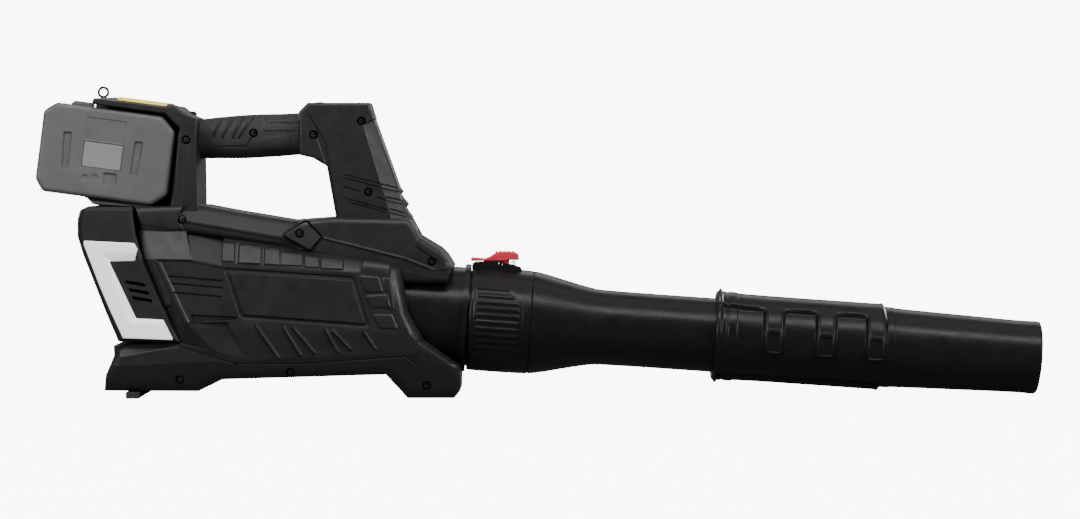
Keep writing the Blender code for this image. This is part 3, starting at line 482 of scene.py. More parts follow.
def wrap_lines(stations, step_degrees=4):
    """Rings at the stations, and straight lines along the piece all the way round."""
    low = SEAM_TURN * WRAP_R
    high = low + math.tau * WRAP_R
    lines = [([(s, low), (s, high)], False) for s in stations[1:-1]]
    for i in range(1, 360 // step_degrees):
        v = low + turn_at(i * step_degrees)
        lines.append(([(stations[0], v), (stations[-1], v)], False))
    return lines, lambda at: np.zeros(len(at))


def ring_to(bm, matrix, ring, station, radius):
    """Extrudes a ring of edges to a new station and radius, and returns the new ring."""
    grown = bmesh.ops.extrude_edge_only(bm, edges=ring)["geom"]
    back = matrix.inverted()
    for vert in verts_in(grown):
        local = back @ vert.co
        out = Vector((0.0, local.y, local.z)).normalized() * radius
        vert.co = matrix @ Vector((station, out.y, out.z))
    return [item for item in grown if isinstance(item, bmesh.types.BMEdge) and item.is_boundary]


def wrapped(name, outer, inner, features, matrix):
    """A hollow round piece whose outside is a relief. outer and inner are (station, radius) profiles."""
    stations, radii = zip(*outer)
    low = SEAM_TURN * WRAP_R
    outline = rectangle(stations[0], low, stations[-1], low + math.tau * WRAP_R)

    def place(u, v, h):
        radius = float(np.interp(u, stations, radii)) + h
        return matrix @ Vector((u, -radius * math.sin(v / WRAP_R), radius * math.cos(v / WRAP_R)))

    bm = relief(outline, [wrap_lines(stations)] + features, place)
    bmesh.ops.remove_doubles(bm, verts=bm.verts, dist=3e-5)  # joins the two sides of the seam
    bmesh.ops.dissolve_degenerate(bm, edges=bm.edges, dist=2e-5)
    back = matrix.inverted()
    middle = (stations[0] + stations[-1]) / 2
    rims = border(bm)
    rear = [rim for rim in rims if (back @ rim.verts[0].co).x < middle]
    front = [rim for rim in rims if (back @ rim.verts[0].co).x > middle]
    for station, radius in inner[:-1]:
        rear = ring_to(bm, matrix, rear, station, radius)
    front = ring_to(bm, matrix, front, *inner[-1])
    bmesh.ops.bridge_loops(bm, edges=rear + front)
    return object_of(name, bm)


def smooth_profile(points, steps=6):
    """(station, radius) points with a soft curve through every corner."""
    result = [points[0]]
    for before, here, after in zip(points, points[1:], points[2:]):
        here = Vector(here)
        start = here + (Vector(before) - here) * 0.45
        end = here + (Vector(after) - here) * 0.45
        result += bend(start, here, end, steps)
    return result + [points[-1]]


# ---- frames of the parts, from the joints and the CAD model -------------------------------------
def joint(name):
    return next(row for row in frame["joints"] if row["name"] == name)


def axis_frame(forward, origin):
    """A frame with its local X along forward, in the machine's middle plane, and local Y along +Y."""
    x_axis = Vector(forward).normalized()
    y_axis = Vector((0.0, 1.0, 0.0))
    turn = Matrix((x_axis, y_axis, x_axis.cross(y_axis))).transposed().to_4x4()
    return Matrix.Translation(origin) @ turn


def tube_frame():
    """Local X runs along the blow tube, and its station 0 is above the origin."""
    spin = joint("fan_spin")
    forward, place = Vector(spin["axis"]), Vector(spin["pos_m"])
    return axis_frame(forward, place - forward * (place.x / forward.x))


def pack_frame():
    """Local X runs along the battery's slide, with the origin in the middle of its side face."""
    place = axis_frame(-Vector(joint("battery_slide")["axis"]), (0.0, 0.0, 0.0))
    seen = np.array([place.inverted() @ vert.co for vert in frame["nodes"]["battery_case"].data.vertices])
    middle = (seen.min(0) + seen.max(0)) / 2
    return Matrix.Translation(place @ Vector((middle[0], 0.0, middle[2]))) @ place, seen.max(0) - middle


TUBE = tube_frame()
PIN = Matrix.Translation(joint("latch_press")["pos_m"])
PACK, PACK_SIZE = pack_frame()


def in_pack(*points):
    """Side-view points in the battery's frame."""
    back = PACK.inverted()
    local = [back @ Vector((x, 0.0, z)) for x, z in points]
    return [(point.x, point.z) for point in local]


# ---- materials ----------------------------------------------------------------------------------
class Surface:
    """A procedural material, built up a layer at a time on the piece's own coordinates."""

    def __init__(self, name, colour, roughness, metallic=0.0, specular=0.5):
        self.material = bpy.data.materials.new(name)
        self.material.use_nodes = True
        self.tree = self.material.node_tree
        self.shader = self.tree.nodes["Principled BSDF"]
        self.shader.inputs["Metallic"].default_value = metallic
        self.shader.inputs["Specular IOR Level"].default_value = specular
        self.colour, self.roughness = colour, roughness
        self.coords = self.node("TexCoord")
        self.bump = None

    def link(self, source, target):
        self.tree.links.new(source, target)

    def node(self, kind, **values):
        """A new shader node with the values set on its inputs."""
        made = self.tree.nodes.new("ShaderNode" + kind)
        for name, value in values.items():
            made.inputs[name.replace("_", " ")].default_value = value
        return made

    def noise(self, size, detail, stretch=(1.0, 1.0, 1.0)):
        """Noise whose features are about size metres across."""
        mapping = self.node("Mapping", Scale=stretch)
        self.link(self.coords.outputs["Object"], mapping.inputs["Vector"])
        made = self.node("TexNoise", Scale=1.0 / size, Detail=detail)
        self.link(mapping.outputs["Vector"], made.inputs["Vector"])
        return made.outputs["Fac"]

    def ranged(self, value, low, high):
        """Noise, which mostly lies between 0.3 and 0.7, spread out from low to high."""
        made = self.node("MapRange", From_Min=0.3, From_Max=0.7, To_Min=low, To_Max=high)
        self.link(value, made.inputs["Value"])
        return made.outputs["Result"]

    def add_bump(self, value, height, strength=1.0):
        made = self.node("Bump", Distance=height, Strength=strength)
        self.link(value, made.inputs["Height"])
        if self.bump:
            self.link(self.bump, made.inputs["Normal"])
        self.bump = made.outputs["Normal"]
        self.link(self.bump, self.shader.inputs["Normal"])

    def vary_colour(self, value, share):
        made = self.node("Mix")
        made.data_type = "RGBA"
        made.inputs["A"].default_value = (*[c * (1 - share) for c in self.colour], 1.0)
        made.inputs["B"].default_value = (*[min(1.0, c * (1 + share)) for c in self.colour], 1.0)
        self.link(self.ranged(value, 0.0, 1.0), made.inputs["Factor"])
        self.link(made.outputs["Result"], self.shader.inputs["Base Color"])

    def vary_roughness(self, value, share):
        low, high = self.roughness * (1 - share), min(1.0, self.roughness * (1 + share))
        self.link(self.ranged(value, low, high), self.shader.inputs["Roughness"])


def moulded(name, colour, roughness, grain, height, specular=0.5, mottle=0.12, waves=0.00008):
    """Moulded plastic: fine grain, broad gloss changes and a little unevenness."""
    made = Surface(name, colour, roughness, specular=specular)
    made.vary_colour(made.noise(0.020, 5.0), mottle)
    made.vary_roughness(made.noise(0.012, 6.0), 0.16)
    made.add_bump(made.noise(0.030, 1.0), waves)
    made.add_bump(made.noise(grain, 2.0), height)
    return made.material


def rubber(name, colour, roughness):
    """Soft overmould with a pattern of small raised cells."""
    made = Surface(name, colour, roughness, specular=0.35)
    made.vary_colour(made.noise(0.015, 4.0), 0.15)
    made.vary_roughness(made.noise(0.006, 5.0), 0.10)
    cells = made.node("TexVoronoi", Scale=1.0 / 0.0016)
    made.link(made.coords.outputs["Object"], cells.inputs["Vector"])
    made.add_bump(cells.outputs["Distance"], 0.00035, 0.7)
    made.add_bump(made.noise(0.0005, 2.0), 0.00003)
    return made.material


def brushed(name, colour, roughness):
    """Turned or drawn metal with fine lines and a few duller spots."""
    made = Surface(name, colour, roughness, metallic=1.0)
    made.vary_colour(made.noise(0.004, 4.0), 0.18)
    made.vary_roughness(made.noise(0.0025, 5.0), 0.30)
    made.add_bump(made.noise(0.0010, 3.0, (1.0, 12.0, 1.0)), 0.00002)
    return made.material


MATERIALS = {
    "housing_black": moulded(
        "housing_black", (0.0065, 0.0065, 0.0072), 0.44, 0.0005, 0.00004, specular=0.28,
    ),
    "tube_black": moulded(
        "tube_black", (0.0050, 0.0050, 0.0055), 0.31, 0.0012, 0.000004, specular=0.13, waves=0.00001,
    ),
    "grip_rubber": rubber("grip_rubber", (0.010, 0.010, 0.011), 0.70),
    "trim_silver": moulded("trim_silver", (0.93, 0.93, 0.94), 0.34, 0.0004, 0.00002, mottle=0.03),
    "pack_grey": moulded("pack_grey", (0.060, 0.060, 0.063), 0.58, 0.0005, 0.00005),
    "plate_light": moulded("plate_light", (0.150, 0.150, 0.154), 0.55, 0.0008, 0.00002, mottle=0.06),
    "plate_yellow": moulded("plate_yellow", (0.78, 0.62, 0.07), 0.5, 0.0008, 0.00002, mottle=0.05),
    "control_red": moulded("control_red", (0.40, 0.018, 0.028), 0.36, 0.0006, 0.00003, mottle=0.08),
    "steel": brushed("steel", (0.38, 0.38, 0.39), 0.34),
    "dark_steel": brushed("dark_steel", (0.035, 0.035, 0.038), 0.42),
    "motor_metal": brushed("motor_metal", (0.16, 0.16, 0.17), 0.45),
    "cells": moulded("cells", (0.05, 0.20, 0.35), 0.42, 0.0009, 0.00002),
    "board": brushed("board", (0.34, 0.34, 0.35), 0.40),
    "fan_plastic": moulded("fan_plastic", (0.13, 0.13, 0.135), 0.50, 0.0006, 0.00003),
}


# ---- features of the housing's sides ------------------------------------------------------------
def body_features():
    panel = [(-0.2633, 0.1102), (-0.1545, 0.1026), (-0.1416, 0.0600), (-0.2492, 0.0682)]
    beyond = 0.180  # above the outline, so that a facet runs out under the beam
    facet_a = [(-0.3700, beyond), (-0.3048, beyond), (-0.2897, 0.1171), (-0.3500, 0.1181)]
    facet_b = [(-0.3048, beyond), (-0.2648, beyond), (-0.2645, 0.1124), (-0.2897, 0.1171)]
    shoulder = [(-0.2648, beyond), (-0.1300, beyond), (-0.1500, 0.1060), (-0.2645, 0.1124)]
    low_facet = [
        (-0.2925, 0.0621), (-0.2705, 0.0409), (-0.2500, 0.0352), (-0.2441, 0.0348), (-0.2607, 0.0645),
        (-0.2915, 0.0645),
    ]
    crescent = [
        (-0.1249, 0.1150), (-0.1249, 0.0983), (-0.1221, 0.0777), (-0.1156, 0.0626), (-0.1036, 0.0491),
        (-0.0800, 0.0491), (-0.0800, 0.1150),
    ]
    front_strip = [
        (-0.1010, 0.0470), (-0.0760, 0.0300), (-0.0600, 0.0300), (-0.0600, 0.0700), (-0.0900, 0.0700),
    ]
    return [
        round_edge(BODY_OUTLINE, 0.0080, 0.0065),
        fold((-0.0994, 0.0545), (-0.3019, 0.0600), 5),
        fold((-0.1124, 0.0390), (-0.2900, 0.0310), 13),
        facet(facet_a, (-0.3200, 0.1176), (-0.2897, 0.1171), 30),
        facet(facet_b, (-0.2897, 0.1171), (-0.2648, 0.1124), 40),
        facet(shoulder, (-0.2640, 0.1150), (-0.1500, 0.1060), 34),
        patch([(-0.3195, 0.1172), (-0.2900, 0.1166), (-0.2903, 0.1152), (-0.3172, 0.1155)], -0.0015, 0.0006),
        patch([(-0.3200, 0.1155), (-0.3160, 0.1155), (-0.2916, 0.0640), (-0.2956, 0.0640)], 0.0014, 0.0016),
        patch(rounded(panel, 0.0025), -0.0012, 0.0010),
        patch(rounded(inset(panel, 0.0028), 0.0020), 0.0018, 0.0014),
        dish(inset(panel, 0.0040), (-0.2462, 0.0708), (-0.1453, 0.0626), 0.0375, 0.0022),
        patch([(-0.2899, 0.0708), (-0.2531, 0.0691), (-0.2531, 0.0673), (-0.2877, 0.0655)], -0.0025, 0.0010),
        facet(low_facet, (-0.2925, 0.0621), (-0.2441, 0.0340), 11),
        facet(crescent, (-0.1249, 0.1000), (-0.1060, 0.0491), 36),
        facet(front_strip, (-0.1010, 0.0470), (-0.0760, 0.0300), 38),
        patch([(-0.1307, 0.1016), (-0.1250, 0.1011), (-0.1210, 0.0756), (-0.1254, 0.0756)], 0.0008, 0.0010),
        groove((-0.2908, 0.1150), (-0.2638, 0.1098)),
    ]


def body_rows():
    """Rows of raised blocks, boxes and gills, and the grooves beside them."""
    features = []
    blocks = [  # x and top z at the rear, x and top z at the front, then the bottom z
        (-0.2648, 0.1314, -0.2546, 0.1306, 0.1160), (-0.2507, 0.1297, -0.2323, 0.1280, 0.1143),
        (-0.2295, 0.1271, -0.2170, 0.1262, 0.1132), (-0.2161, 0.1236, -0.1977, 0.1219, 0.1124),
        (-0.1960, 0.1206, -0.1841, 0.1193, 0.1110), (-0.1826, 0.1189, -0.1642, 0.1171, 0.1096),
    ]
    for rear, rear_top, front, front_top, bottom in blocks:
        loop = [(rear, rear_top), (front, front_top), (front + 0.0006, bottom - 0.0008), (rear, bottom)]
        features.append(patch(rounded(loop, 0.0010), 0.0016, 0.0012))
    lines = [(-0.3092, 0.1033, 0.0994), (-0.3060, 0.0972, 0.0935), (-0.3050, 0.0896, 0.0860)]
    for rear, rear_z, front_z in lines:
        features.append(groove((rear, rear_z), (-0.2649, front_z), 0.0016, 0.0012))
    boxes = [
        [(-0.1502, 0.1037), (-0.1344, 0.1024), (-0.1307, 0.0900), (-0.1452, 0.0900)],
        [(-0.1444, 0.0868), (-0.1275, 0.0877), (-0.1243, 0.0772), (-0.1405, 0.0772)],
        [(-0.1384, 0.0712), (-0.1232, 0.0708), (-0.1185, 0.0593), (-0.1340, 0.0604)],
    ]
    features += [patch(rounded(loop, 0.0012), 0.0010, 0.0012) for loop in boxes]
    gills = [
        ((-0.2358, 0.0615), (-0.2186, 0.0361)), ((-0.2131, 0.0604), (-0.2001, 0.0383)),
        ((-0.2055, 0.0604), (-0.1882, 0.0398)), ((-0.1784, 0.0582), (-0.1687, 0.0409)),
        ((-0.1719, 0.0571), (-0.1579, 0.0426)), ((-0.1460, 0.0561), (-0.1373, 0.0430)),
    ]
    features += [raised_bar(start, end, 0.0011, 0.0018, 0.0014) for start, end in gills]
    low_line = [(-0.3008, 0.0441), (-0.2532, 0.0296), (-0.1991, 0.0300), (-0.1124, 0.0361), (-0.1016, 0.0279)]
    return features + path_grooves(low_line, 0.0014, 0.0008)


def beam_features():
    bevel = [(-0.3038, 0.1511), (-0.2149, 0.1359), (-0.1940, 0.1540), (-0.1900, 0.1800), (-0.2860, 0.1800)]
    boss = [(-0.2157, 0.1371), (-0.1955, 0.1500), (-0.1816, 0.1360), (-0.1919, 0.1240)]
    lip = [
        (-0.1042, 0.1340), (-0.0790, 0.1190), (-0.0784, 0.1086), (-0.0836, 0.1075), (-0.0847, 0.1151),
        (-0.1021, 0.1271),
    ]
    low = [(-0.3040, 0.1500), (-0.2150, 0.1345), (-0.1930, 0.1245), (-0.2650, 0.1330), (-0.2980, 0.1398)]
    return [
        round_edge(BEAM_OUTLINE, 0.0050, 0.0042),
        facet(bevel, (-0.3038, 0.1511), (-0.2149, 0.1359), 38),
        patch(rounded(boss, 0.0025), 0.0046, 0.0022),
        facet(rounded(boss, 0.0025), (-0.2157, 0.1371), (-0.1919, 0.1240), 15),
        patch(rounded(inset(low, 0.0012), 0.0010), -0.0007, 0.0010),
        patch(rounded(lip, 0.0010), 0.0010, 0.0012),
        raised_bar((-0.1800, 0.1345), (-0.1128, 0.1174), 0.0009, 0.0010, 0.0010),
        raised_bar((-0.1128, 0.1174), (-0.0900, 0.1085), 0.0009, 0.0010, 0.0010),
        fold((-0.0850, 0.1010), (-0.1700, 0.1170), 12),
    ]


def post_features():
    strip = [(-0.1488, 0.2290), (-0.1300, 0.2390), (-0.0900, 0.1750), (-0.0900, 0.1400), (-0.1215, 0.1385)]
    rear_bevel = [
        (-0.1935, 0.2369), (-0.1806, 0.2151), (-0.1790, 0.2064), (-0.1690, 0.1500), (-0.1722, 0.1500),
        (-0.1806, 0.1976), (-0.1950, 0.2390),
    ]
    features = [
        round_edge(POST_OUTLINE, 0.0030, 0.0026),
        facet(strip, (-0.1488, 0.2282), (-0.1205, 0.1353), 40),
        patch(rear_bevel, -0.0009, 0.0009),
    ]
    pairs = [
        ((-0.1653, 0.1878), (-0.1336, 0.1796)), ((-0.1658, 0.1851), (-0.1341, 0.1766)),
        ((-0.1648, 0.1774), (-0.1516, 0.1735)), ((-0.1372, 0.1687), (-0.1298, 0.1662)),
        ((-0.1637, 0.1676), (-0.1298, 0.1583)), ((-0.1626, 0.1650), (-0.1310, 0.1560)),
        ((-0.1336, 0.1796), (-0.1210, 0.1766)), ((-0.1325, 0.1760), (-0.1205, 0.1730)),
        ((-0.1298, 0.1690), (-0.1180, 0.1661)), ((-0.1292, 0.1657), (-0.1170, 0.1626)),
        ((-0.1265, 0.1588), (-0.1150, 0.1555)), ((-0.1265, 0.1555), (-0.1135, 0.1517)),
    ]
    return features + [groove(start, end, 0.0011, 0.0009) for start, end in pairs]


def wall_features():
    return [
        round_edge(WALL_OUTLINE, 0.0022, 0.0020),
        raised_bar((-0.3024, 0.2200), (-0.3052, 0.1700), 0.0008, 0.0008, 0.0008),
        raised_bar((-0.2936, 0.2100), (-0.3000, 0.1620), 0.0008, 0.0008, 0.0008),
    ]


def grip_features():
    """A rounded grip. Its edge is worked out on a longer outline, so that the ends stay straight."""
    ends = {GRIP_OUTLINE[0][0]: -0.030, GRIP_OUTLINE[6][0]: 0.030}
    longer = [(x + ends.get(x, 0.0), z) for x, z in GRIP_OUTLINE]
    features = [round_edge(longer, 0.0150, 0.0142, steps=9)]
    ribs = [
        ((-0.2690, 0.2345), (-0.2759, 0.2192)), ((-0.2598, 0.2345), (-0.2674, 0.2183)),
        ((-0.2513, 0.2345), (-0.2590, 0.2175)), ((-0.2429, 0.2340), (-0.2539, 0.2175)),
    ]
    features += [raised_bar(start, end, 0.0010, -0.0018, 0.0012) for start, end in ribs]
    band_path = [(-0.2750, 0.2108), (-0.2490, 0.2108), (-0.2412, 0.2208)]
    features += path_grooves(band_path, 0.0016, 0.0009)
    for z, start in ((0.2242, -0.2330), (0.2310, -0.2311)):
        features.append(groove((start, z), (-0.2028, z), 0.0012, 0.0007))
    soft_patch = [(-0.2345, 0.2183), (-0.2109, 0.2209), (-0.2092, 0.2082), (-0.2362, 0.2082)]
    features.append(patch(rounded(soft_patch, 0.0018), 0.0005, 0.0010))
    return features


LAYERS = {  # half width: outline, features without the screws
    BODY_HALF: (BODY_OUTLINE, body_features() + body_rows()),
    BEAM_HALF: (BEAM_OUTLINE, beam_features()),
    POST_HALF: (POST_OUTLINE, post_features()),
    BAY_HALF: (WALL_OUTLINE, wall_features()),
    GRIP_HALF: (GRIP_OUTLINE, grip_features()),
}


def layer(half, side, name):
    """One layer of the housing's side. The screws are on the right."""
    outline, features = LAYERS[half]
    if side == RIGHT:
        features = features + screw_recesses(half)
    return side_piece(name, outline, features, half, side, side * SEAM)


# ---- housing ------------------------------------------------------------------------------------
def duct_space():
    """The round space for the fan duct, open at the front."""
    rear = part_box("intake_guard")[0].x - 0.004
    radius, mouth_radius = 0.0435, 0.0464
    mouth, front = -0.0665, -0.0450
    profile = [(rear, 0.0), (rear, radius), (mouth, radius)]
    profile += [(mouth, mouth_radius), (front, mouth_radius), (front, 0.0)]
    return turned("cut_duct", profile, 64, TUBE)


def tongue(side):
    """The thin plate that runs back under the battery."""
    soft = round_edge(TONGUE_OUTLINE, 0.0012, 0.0012, 3)
    return side_piece("tongue", TONGUE_OUTLINE, [soft], BAY_HALF - 2 * STEP_BACK, side, side * SEAM)


def roof(side):
    """The roof over the battery, which falls towards its side."""
    outline = [
        (-0.0160, 0.0402), (-0.0155, 0.0450), (0.0010, 0.0483), (0.0480, 0.0483), (0.0560, 0.0440),
        (0.0560, 0.0350), (0.0480, 0.0402),
    ]
    soft = round_edge(outline, 0.0012, 0.0012, 3)
    piece = side_piece("roof", outline, [soft], BAY_HALF - STEP_BACK, side, side * SEAM, PACK)
    place = PACK @ Matrix.Translation((0.0, side * CROWN_HALF, CROWN_TOP))
    place = place @ Matrix.Rotation(-side * ROOF_TURN, 4, "X")
    low, high = sorted((0.0, side * 0.036))
    cut(box_mesh("cut_slope", (-0.060, low, 0.0), (0.090, high, 0.012), place), piece)
    return piece


def housing(side, name):
    """One shell, made of closed bodies from the fan body up to the battery's roof."""
    layers = [layer(half, side, "layer") for half in (BODY_HALF, BEAM_HALF)]
    cut(duct_space(), *layers)
    layers += [layer(half, side, "layer") for half in (POST_HALF, BAY_HALF)]
    layers += [tongue(side), roof(side)]
    if side == LEFT:
        layers.append(bay_plate())
    finish(merge(name, layers), "housing", "housing_black", name)


def bay_plate():
    """The battery bay's left wall with its rails, ribbed on the outside."""
    outline = rounded(rectangle(-0.0215, -0.0405, 0.0640, 0.0450), 0.0015)
    features = [edge(outline, [(0.0, 0.0012), (0.0004, 0.0004), (0.0012, 0.0)])]
    frame_loop = rectangle(-0.0080, -0.0320, 0.0520, 0.0300)
    features.append(patch(rounded(frame_loop, 0.003), -0.0010, 0.0010))
    rib_gap = 0.0145
    for row in range(4):
        z = -0.0225 + row * rib_gap
        features.append(raised_bar((-0.0030, z), (0.0450, z), 0.0020, 0.0009, 0.0010))
    parts = [side_piece("plate", outline, features, BAY_HALF - 0.0005, LEFT, 0.0246, PACK)]
    for sign in (-1, 1):
        low, high = sorted((sign * 0.0295, sign * 0.0330))
        parts.append(box_mesh("rail_web", (-0.0140, 0.0160, low), (0.0600, 0.0266, high), PACK))
        low, high = sorted((sign * 0.0260, sign * 0.0300))
        parts.append(box_mesh("rail_lip", (-0.0130, 0.0163, low), (0.0590, 0.0190, high), PACK))
    return merge("bay_plate", parts)


# ---- small parts --------------------------------------------------------------------------------
def clean(obj):
    """Joins an imported mesh's split vertices and drops its stored normals."""
    bm = bmesh.new()
    bm.from_mesh(obj.data)
    bmesh.ops.remove_doubles(bm, verts=bm.verts, dist=1e-6)
    bmesh.ops.dissolve_limit(bm, angle_limit=math.radians(0.6), verts=bm.verts, edges=bm.edges)
    bm.to_mesh(obj.data)
    bm.free()
    if "custom_normal" in obj.data.attributes:
        obj.data.attributes.remove(obj.data.attributes["custom_normal"])


def polished(node, body, material, width, segments=2):
    """The CAD node's own shape with its edges softened."""
    copy = link_object(node + "_piece", frame["nodes"][node].data.copy())
    clean(copy)
    if width:
        soft_edges(copy, width, segments)
    finish(copy, body, material, node, sharp=50)


def bow(mesh):
    """Bends the cover's rear forwards towards its sides."""
    bm = bmesh.new()
    bm.from_mesh(mesh)
    bmesh.ops.remove_doubles(bm, verts=bm.verts, dist=1e-6)
    for step in range(-BOW_LINES, BOW_LINES + 1):
        whole = [*bm.verts, *bm.edges, *bm.faces]
        place = (0.0, step * BOW_STEP, 0.0)
        bmesh.ops.bisect_plane(bm, geom=whole, plane_co=place, plane_no=(0.0, 1.0, 0.0))
    front = sorted((z, x) for x, z in COVER_OUTLINE[:1] + COVER_OUTLINE[8:])
    rear = sorted((z, x) for x, z in COVER_OUTLINE[1:8])
    for vert in bm.verts:
        ahead = np.interp(vert.co.z, *zip(*front))
        behind = np.interp(vert.co.z, *zip(*rear))
        share = min(1.0, max(0.0, (ahead - vert.co.x) / (ahead - behind)))
        vert.co.x += COVER_BOW * share * (vert.co.y / COVER_HALF) ** 2
    bm.to_mesh(mesh)
    bm.free()


def rear_cover():
    """The CAD shape with a bowed rear, a rib down the middle and a baffle behind the grille."""
    shell = link_object("cover_shell", frame["nodes"]["rear_cover"].data.copy())
    bow(shell.data)
    rib = prism("cover_rib", inset(COVER_OUTLINE, 0.0050), -0.0010, 0.0010)
    back = [(-0.3735, 0.1500), (-0.3760, 0.1360), (-0.3715, 0.1190), (-0.3480, 0.0570)]
    thick = 0.0015
    outline = back + [(x + thick, z) for x, z in reversed(back)]
    end = COVER_HALF - 0.0020
    piece = merge("rear_cover_piece", [shell, rib, prism("cover_baffle", outline, -end, end)])
    clean(piece)
    soft_edges(piece, 0.0010, 3)
    finish(piece, "housing", "housing_black", "rear_cover", sharp=50)


def roof_label():
    """A plate over the roof's crown, bent down along both slopes."""
    wide, thick, crest = 0.0335, 0.0007, CROWN_TOP + STEP_BACK
    start, end = 0.0044, 0.0455
    fall = (wide - CROWN_HALF) * math.tan(ROOF_TURN)
    under = [(-wide, crest - fall), (-CROWN_HALF, crest), (CROWN_HALF, crest), (wide, crest - fall)]
    section = [(y, height + thick) for y, height in under] + under[::-1]
    loop = [(start, y, height) for y, height in section]
    piece = swept("roof_label_piece", loop, (end - start, 0.0, 0.0), PACK)
    soft_edges(piece, 0.0002)
    finish(piece, "housing", "plate_yellow", "roof_label")


def screw(name):
    """A pan-head screw with a cross recess, sunk below the face of its layer."""
    x, z, half = SCREWS[name]
    place = Matrix.Translation((x, 0.0, z))
    lift = sum(float(height(np.array([(x, z)]))[0]) for _, height in LAYERS[half][1])
    top = -half - lift + 0.0024
    under_head, radius, shank = top + 0.0024, 0.0031, 0.0016
    profile = [
        (top, 0.0), (top, 0.0012), (top + 0.0001, radius - 0.0007), (top + 0.0004, radius - 0.0002),
        (top + 0.0008, radius), (under_head, radius), (under_head, shank), (0.0085, shank), (0.0090, 0.0),
    ]
    piece = turned("screw_piece_" + name, profile, 24, place, axis="Y")
    for turn in (25, 115):
        place = Matrix.Translation((x, top, z)) @ Matrix.Rotation(math.radians(turn), 4, "Y")
        cut(box_mesh("cut_cross", (-0.0017, -0.0010, -0.00032), (0.0017, 0.0011, 0.00032), place), piece)
    finish(piece, "housing", "dark_steel", "screw_" + name, sharp=35)


def grips():
    for side, name in ((RIGHT, "grip_right"), (LEFT, "grip_left")):
        finish(layer(GRIP_HALF, side, name + "_piece"), "housing", "grip_rubber", name)


def trim_features():
    """A fine rounded rim, and bevels along the inner edges of the bracket."""
    top = [(-0.3300, 0.1226), (-0.3648, 0.1234), (-0.3590, 0.1140), (-0.3300, 0.1140)]
    spine = [(-0.3648, 0.1234), (-0.3416, 0.0640), (-0.3330, 0.0700), (-0.3560, 0.1170)]
    bottom = [(-0.3412, 0.0638), (-0.3000, 0.0626), (-0.3000, 0.0720), (-0.3345, 0.0700)]
    return [
        round_edge(TRIM_OUTLINE, 0.0010, 0.0009, 3),
        facet(top, (-0.3300, 0.1226), (-0.3648, 0.1234), 16),
        facet(spine, (-0.3648, 0.1234), (-0.3416, 0.0640), 18),
        facet(bottom, (-0.3412, 0.0638), (-0.3000, 0.0626), 16),
    ]


def trims():
    for side, name in ((RIGHT, "trim_right"), (LEFT, "trim_left")):
        inner, outer = sorted(abs(corner.y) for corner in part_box(name))
        outline = rounded(TRIM_OUTLINE, 0.0010, 2)
        piece = side_piece(name + "_piece", outline, trim_features(), outer, side, side * inner)
        finish(piece, "housing", "trim_silver", name)


# ---- battery ------------------------------------------------------------------------------------
def battery_outline():
    a, b = PACK_SIZE[0], PACK_SIZE[2]
    corners = [
        (-a, -b + 0.010), (-a + 0.007, -b), (a - 0.013, -b), (a, -b + 0.010), (a, b - 0.012), (a - 0.012, b),
        (-a + 0.010, b), (-a, b - 0.008),
    ]
    return rounded(corners, 0.0060, 5)


def battery_features(outline):
    """The side's rounded rim, and its sunk areas for the label, a window, slots and a port."""
    label = rectangle(-0.0185, -0.0125, 0.0145, 0.0090)
    window = rectangle(-0.0185, 0.0100, 0.0145, 0.0290)
    features = [
        round_edge(outline, 0.0040, 0.0036),
        patch(label, -0.0008, 0.0004, 0.0001),
        patch(rounded(window, 0.0012), -0.0006, 0.0006),
    ]
    slots = (
        [(-0.3984, 0.2232), (-0.3917, 0.2229), (-0.3952, 0.1931), (-0.4003, 0.1935)],
        [(-0.3390, 0.2149), (-0.3323, 0.2146), (-0.3375, 0.1864), (-0.3433, 0.1868)],
    )
    features += [patch(rounded(in_pack(*loop), 0.0012), -0.0018, 0.0008) for loop in slots]
    for x in (-0.3810, -0.3727):
        features.append(patch(circle(in_pack((x, 0.1848))[0], 0.0028), -0.0009, 0.0008))
    port = in_pack((-0.3651, 0.1889), (-0.3542, 0.1881), (-0.3551, 0.1789), (-0.3655, 0.1789))
    features.append(patch(rounded(port, 0.0015), -0.0016, 0.0008))
    return features


def battery():
    low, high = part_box("battery_case")
    outline = battery_outline()
    features = battery_features(outline)
    case = side_piece("battery_case_piece", outline, features, -low.y, RIGHT, high.y, PACK)
    cut(box_mesh("cut_button", (-0.0364, -0.0214, 0.0340), (-0.0176, 0.0014, 0.0450), PACK), case)
    finish(case, "battery", "pack_grey", "battery_case")
    battery_button()
    polished("battery_lid", "battery", "pack_grey", 0.0010, 3)
    loop = rounded(rectangle(-0.0180, -0.0120, 0.0140, 0.0085), 0.0012)
    rim = edge(loop, [(0.0, 0.0001), (0.0002, 0.0)])
    face, thick = -low.y - 0.0002, 0.0004
    label = side_piece("battery_label_piece", loop, [rim], face, RIGHT, -face + thick, PACK)
    finish(label, "battery", "plate_light", "battery_label")


def battery_button():
    """A key with three notches for the thumb, on a thin foot."""
    outline = [(-0.0360, 0.0381), (-0.0325, 0.0412), (-0.0205, 0.0412), (-0.0180, 0.0381)]
    key = prism("button_key", outline, -0.0210, 0.0010, PACK)
    foot = box_mesh("button_foot", (-0.0350, -0.0200, 0.0372), (-0.0190, 0.0000, 0.0383), PACK)
    wide, gap = 0.0012, 0.0032
    for row in range(3):
        start = -0.0300 + row * gap
        cut(box_mesh("cut_notch", (start, -0.0180, 0.0408), (start + wide, -0.0020, 0.0420), PACK), key)
    piece = merge("battery_button_piece", [key, foot])
    soft_edges(piece, 0.0004)
    finish(piece, "battery_button", "pack_grey", "battery_button")


# ---- blow tube, nozzle and latch ----------------------------------------------------------------
FINGER_STARTS = (0.1880, 0.2320, 0.2745)
FINGER_WIDE = 0.0165
PIN_RADIUS = 0.0019


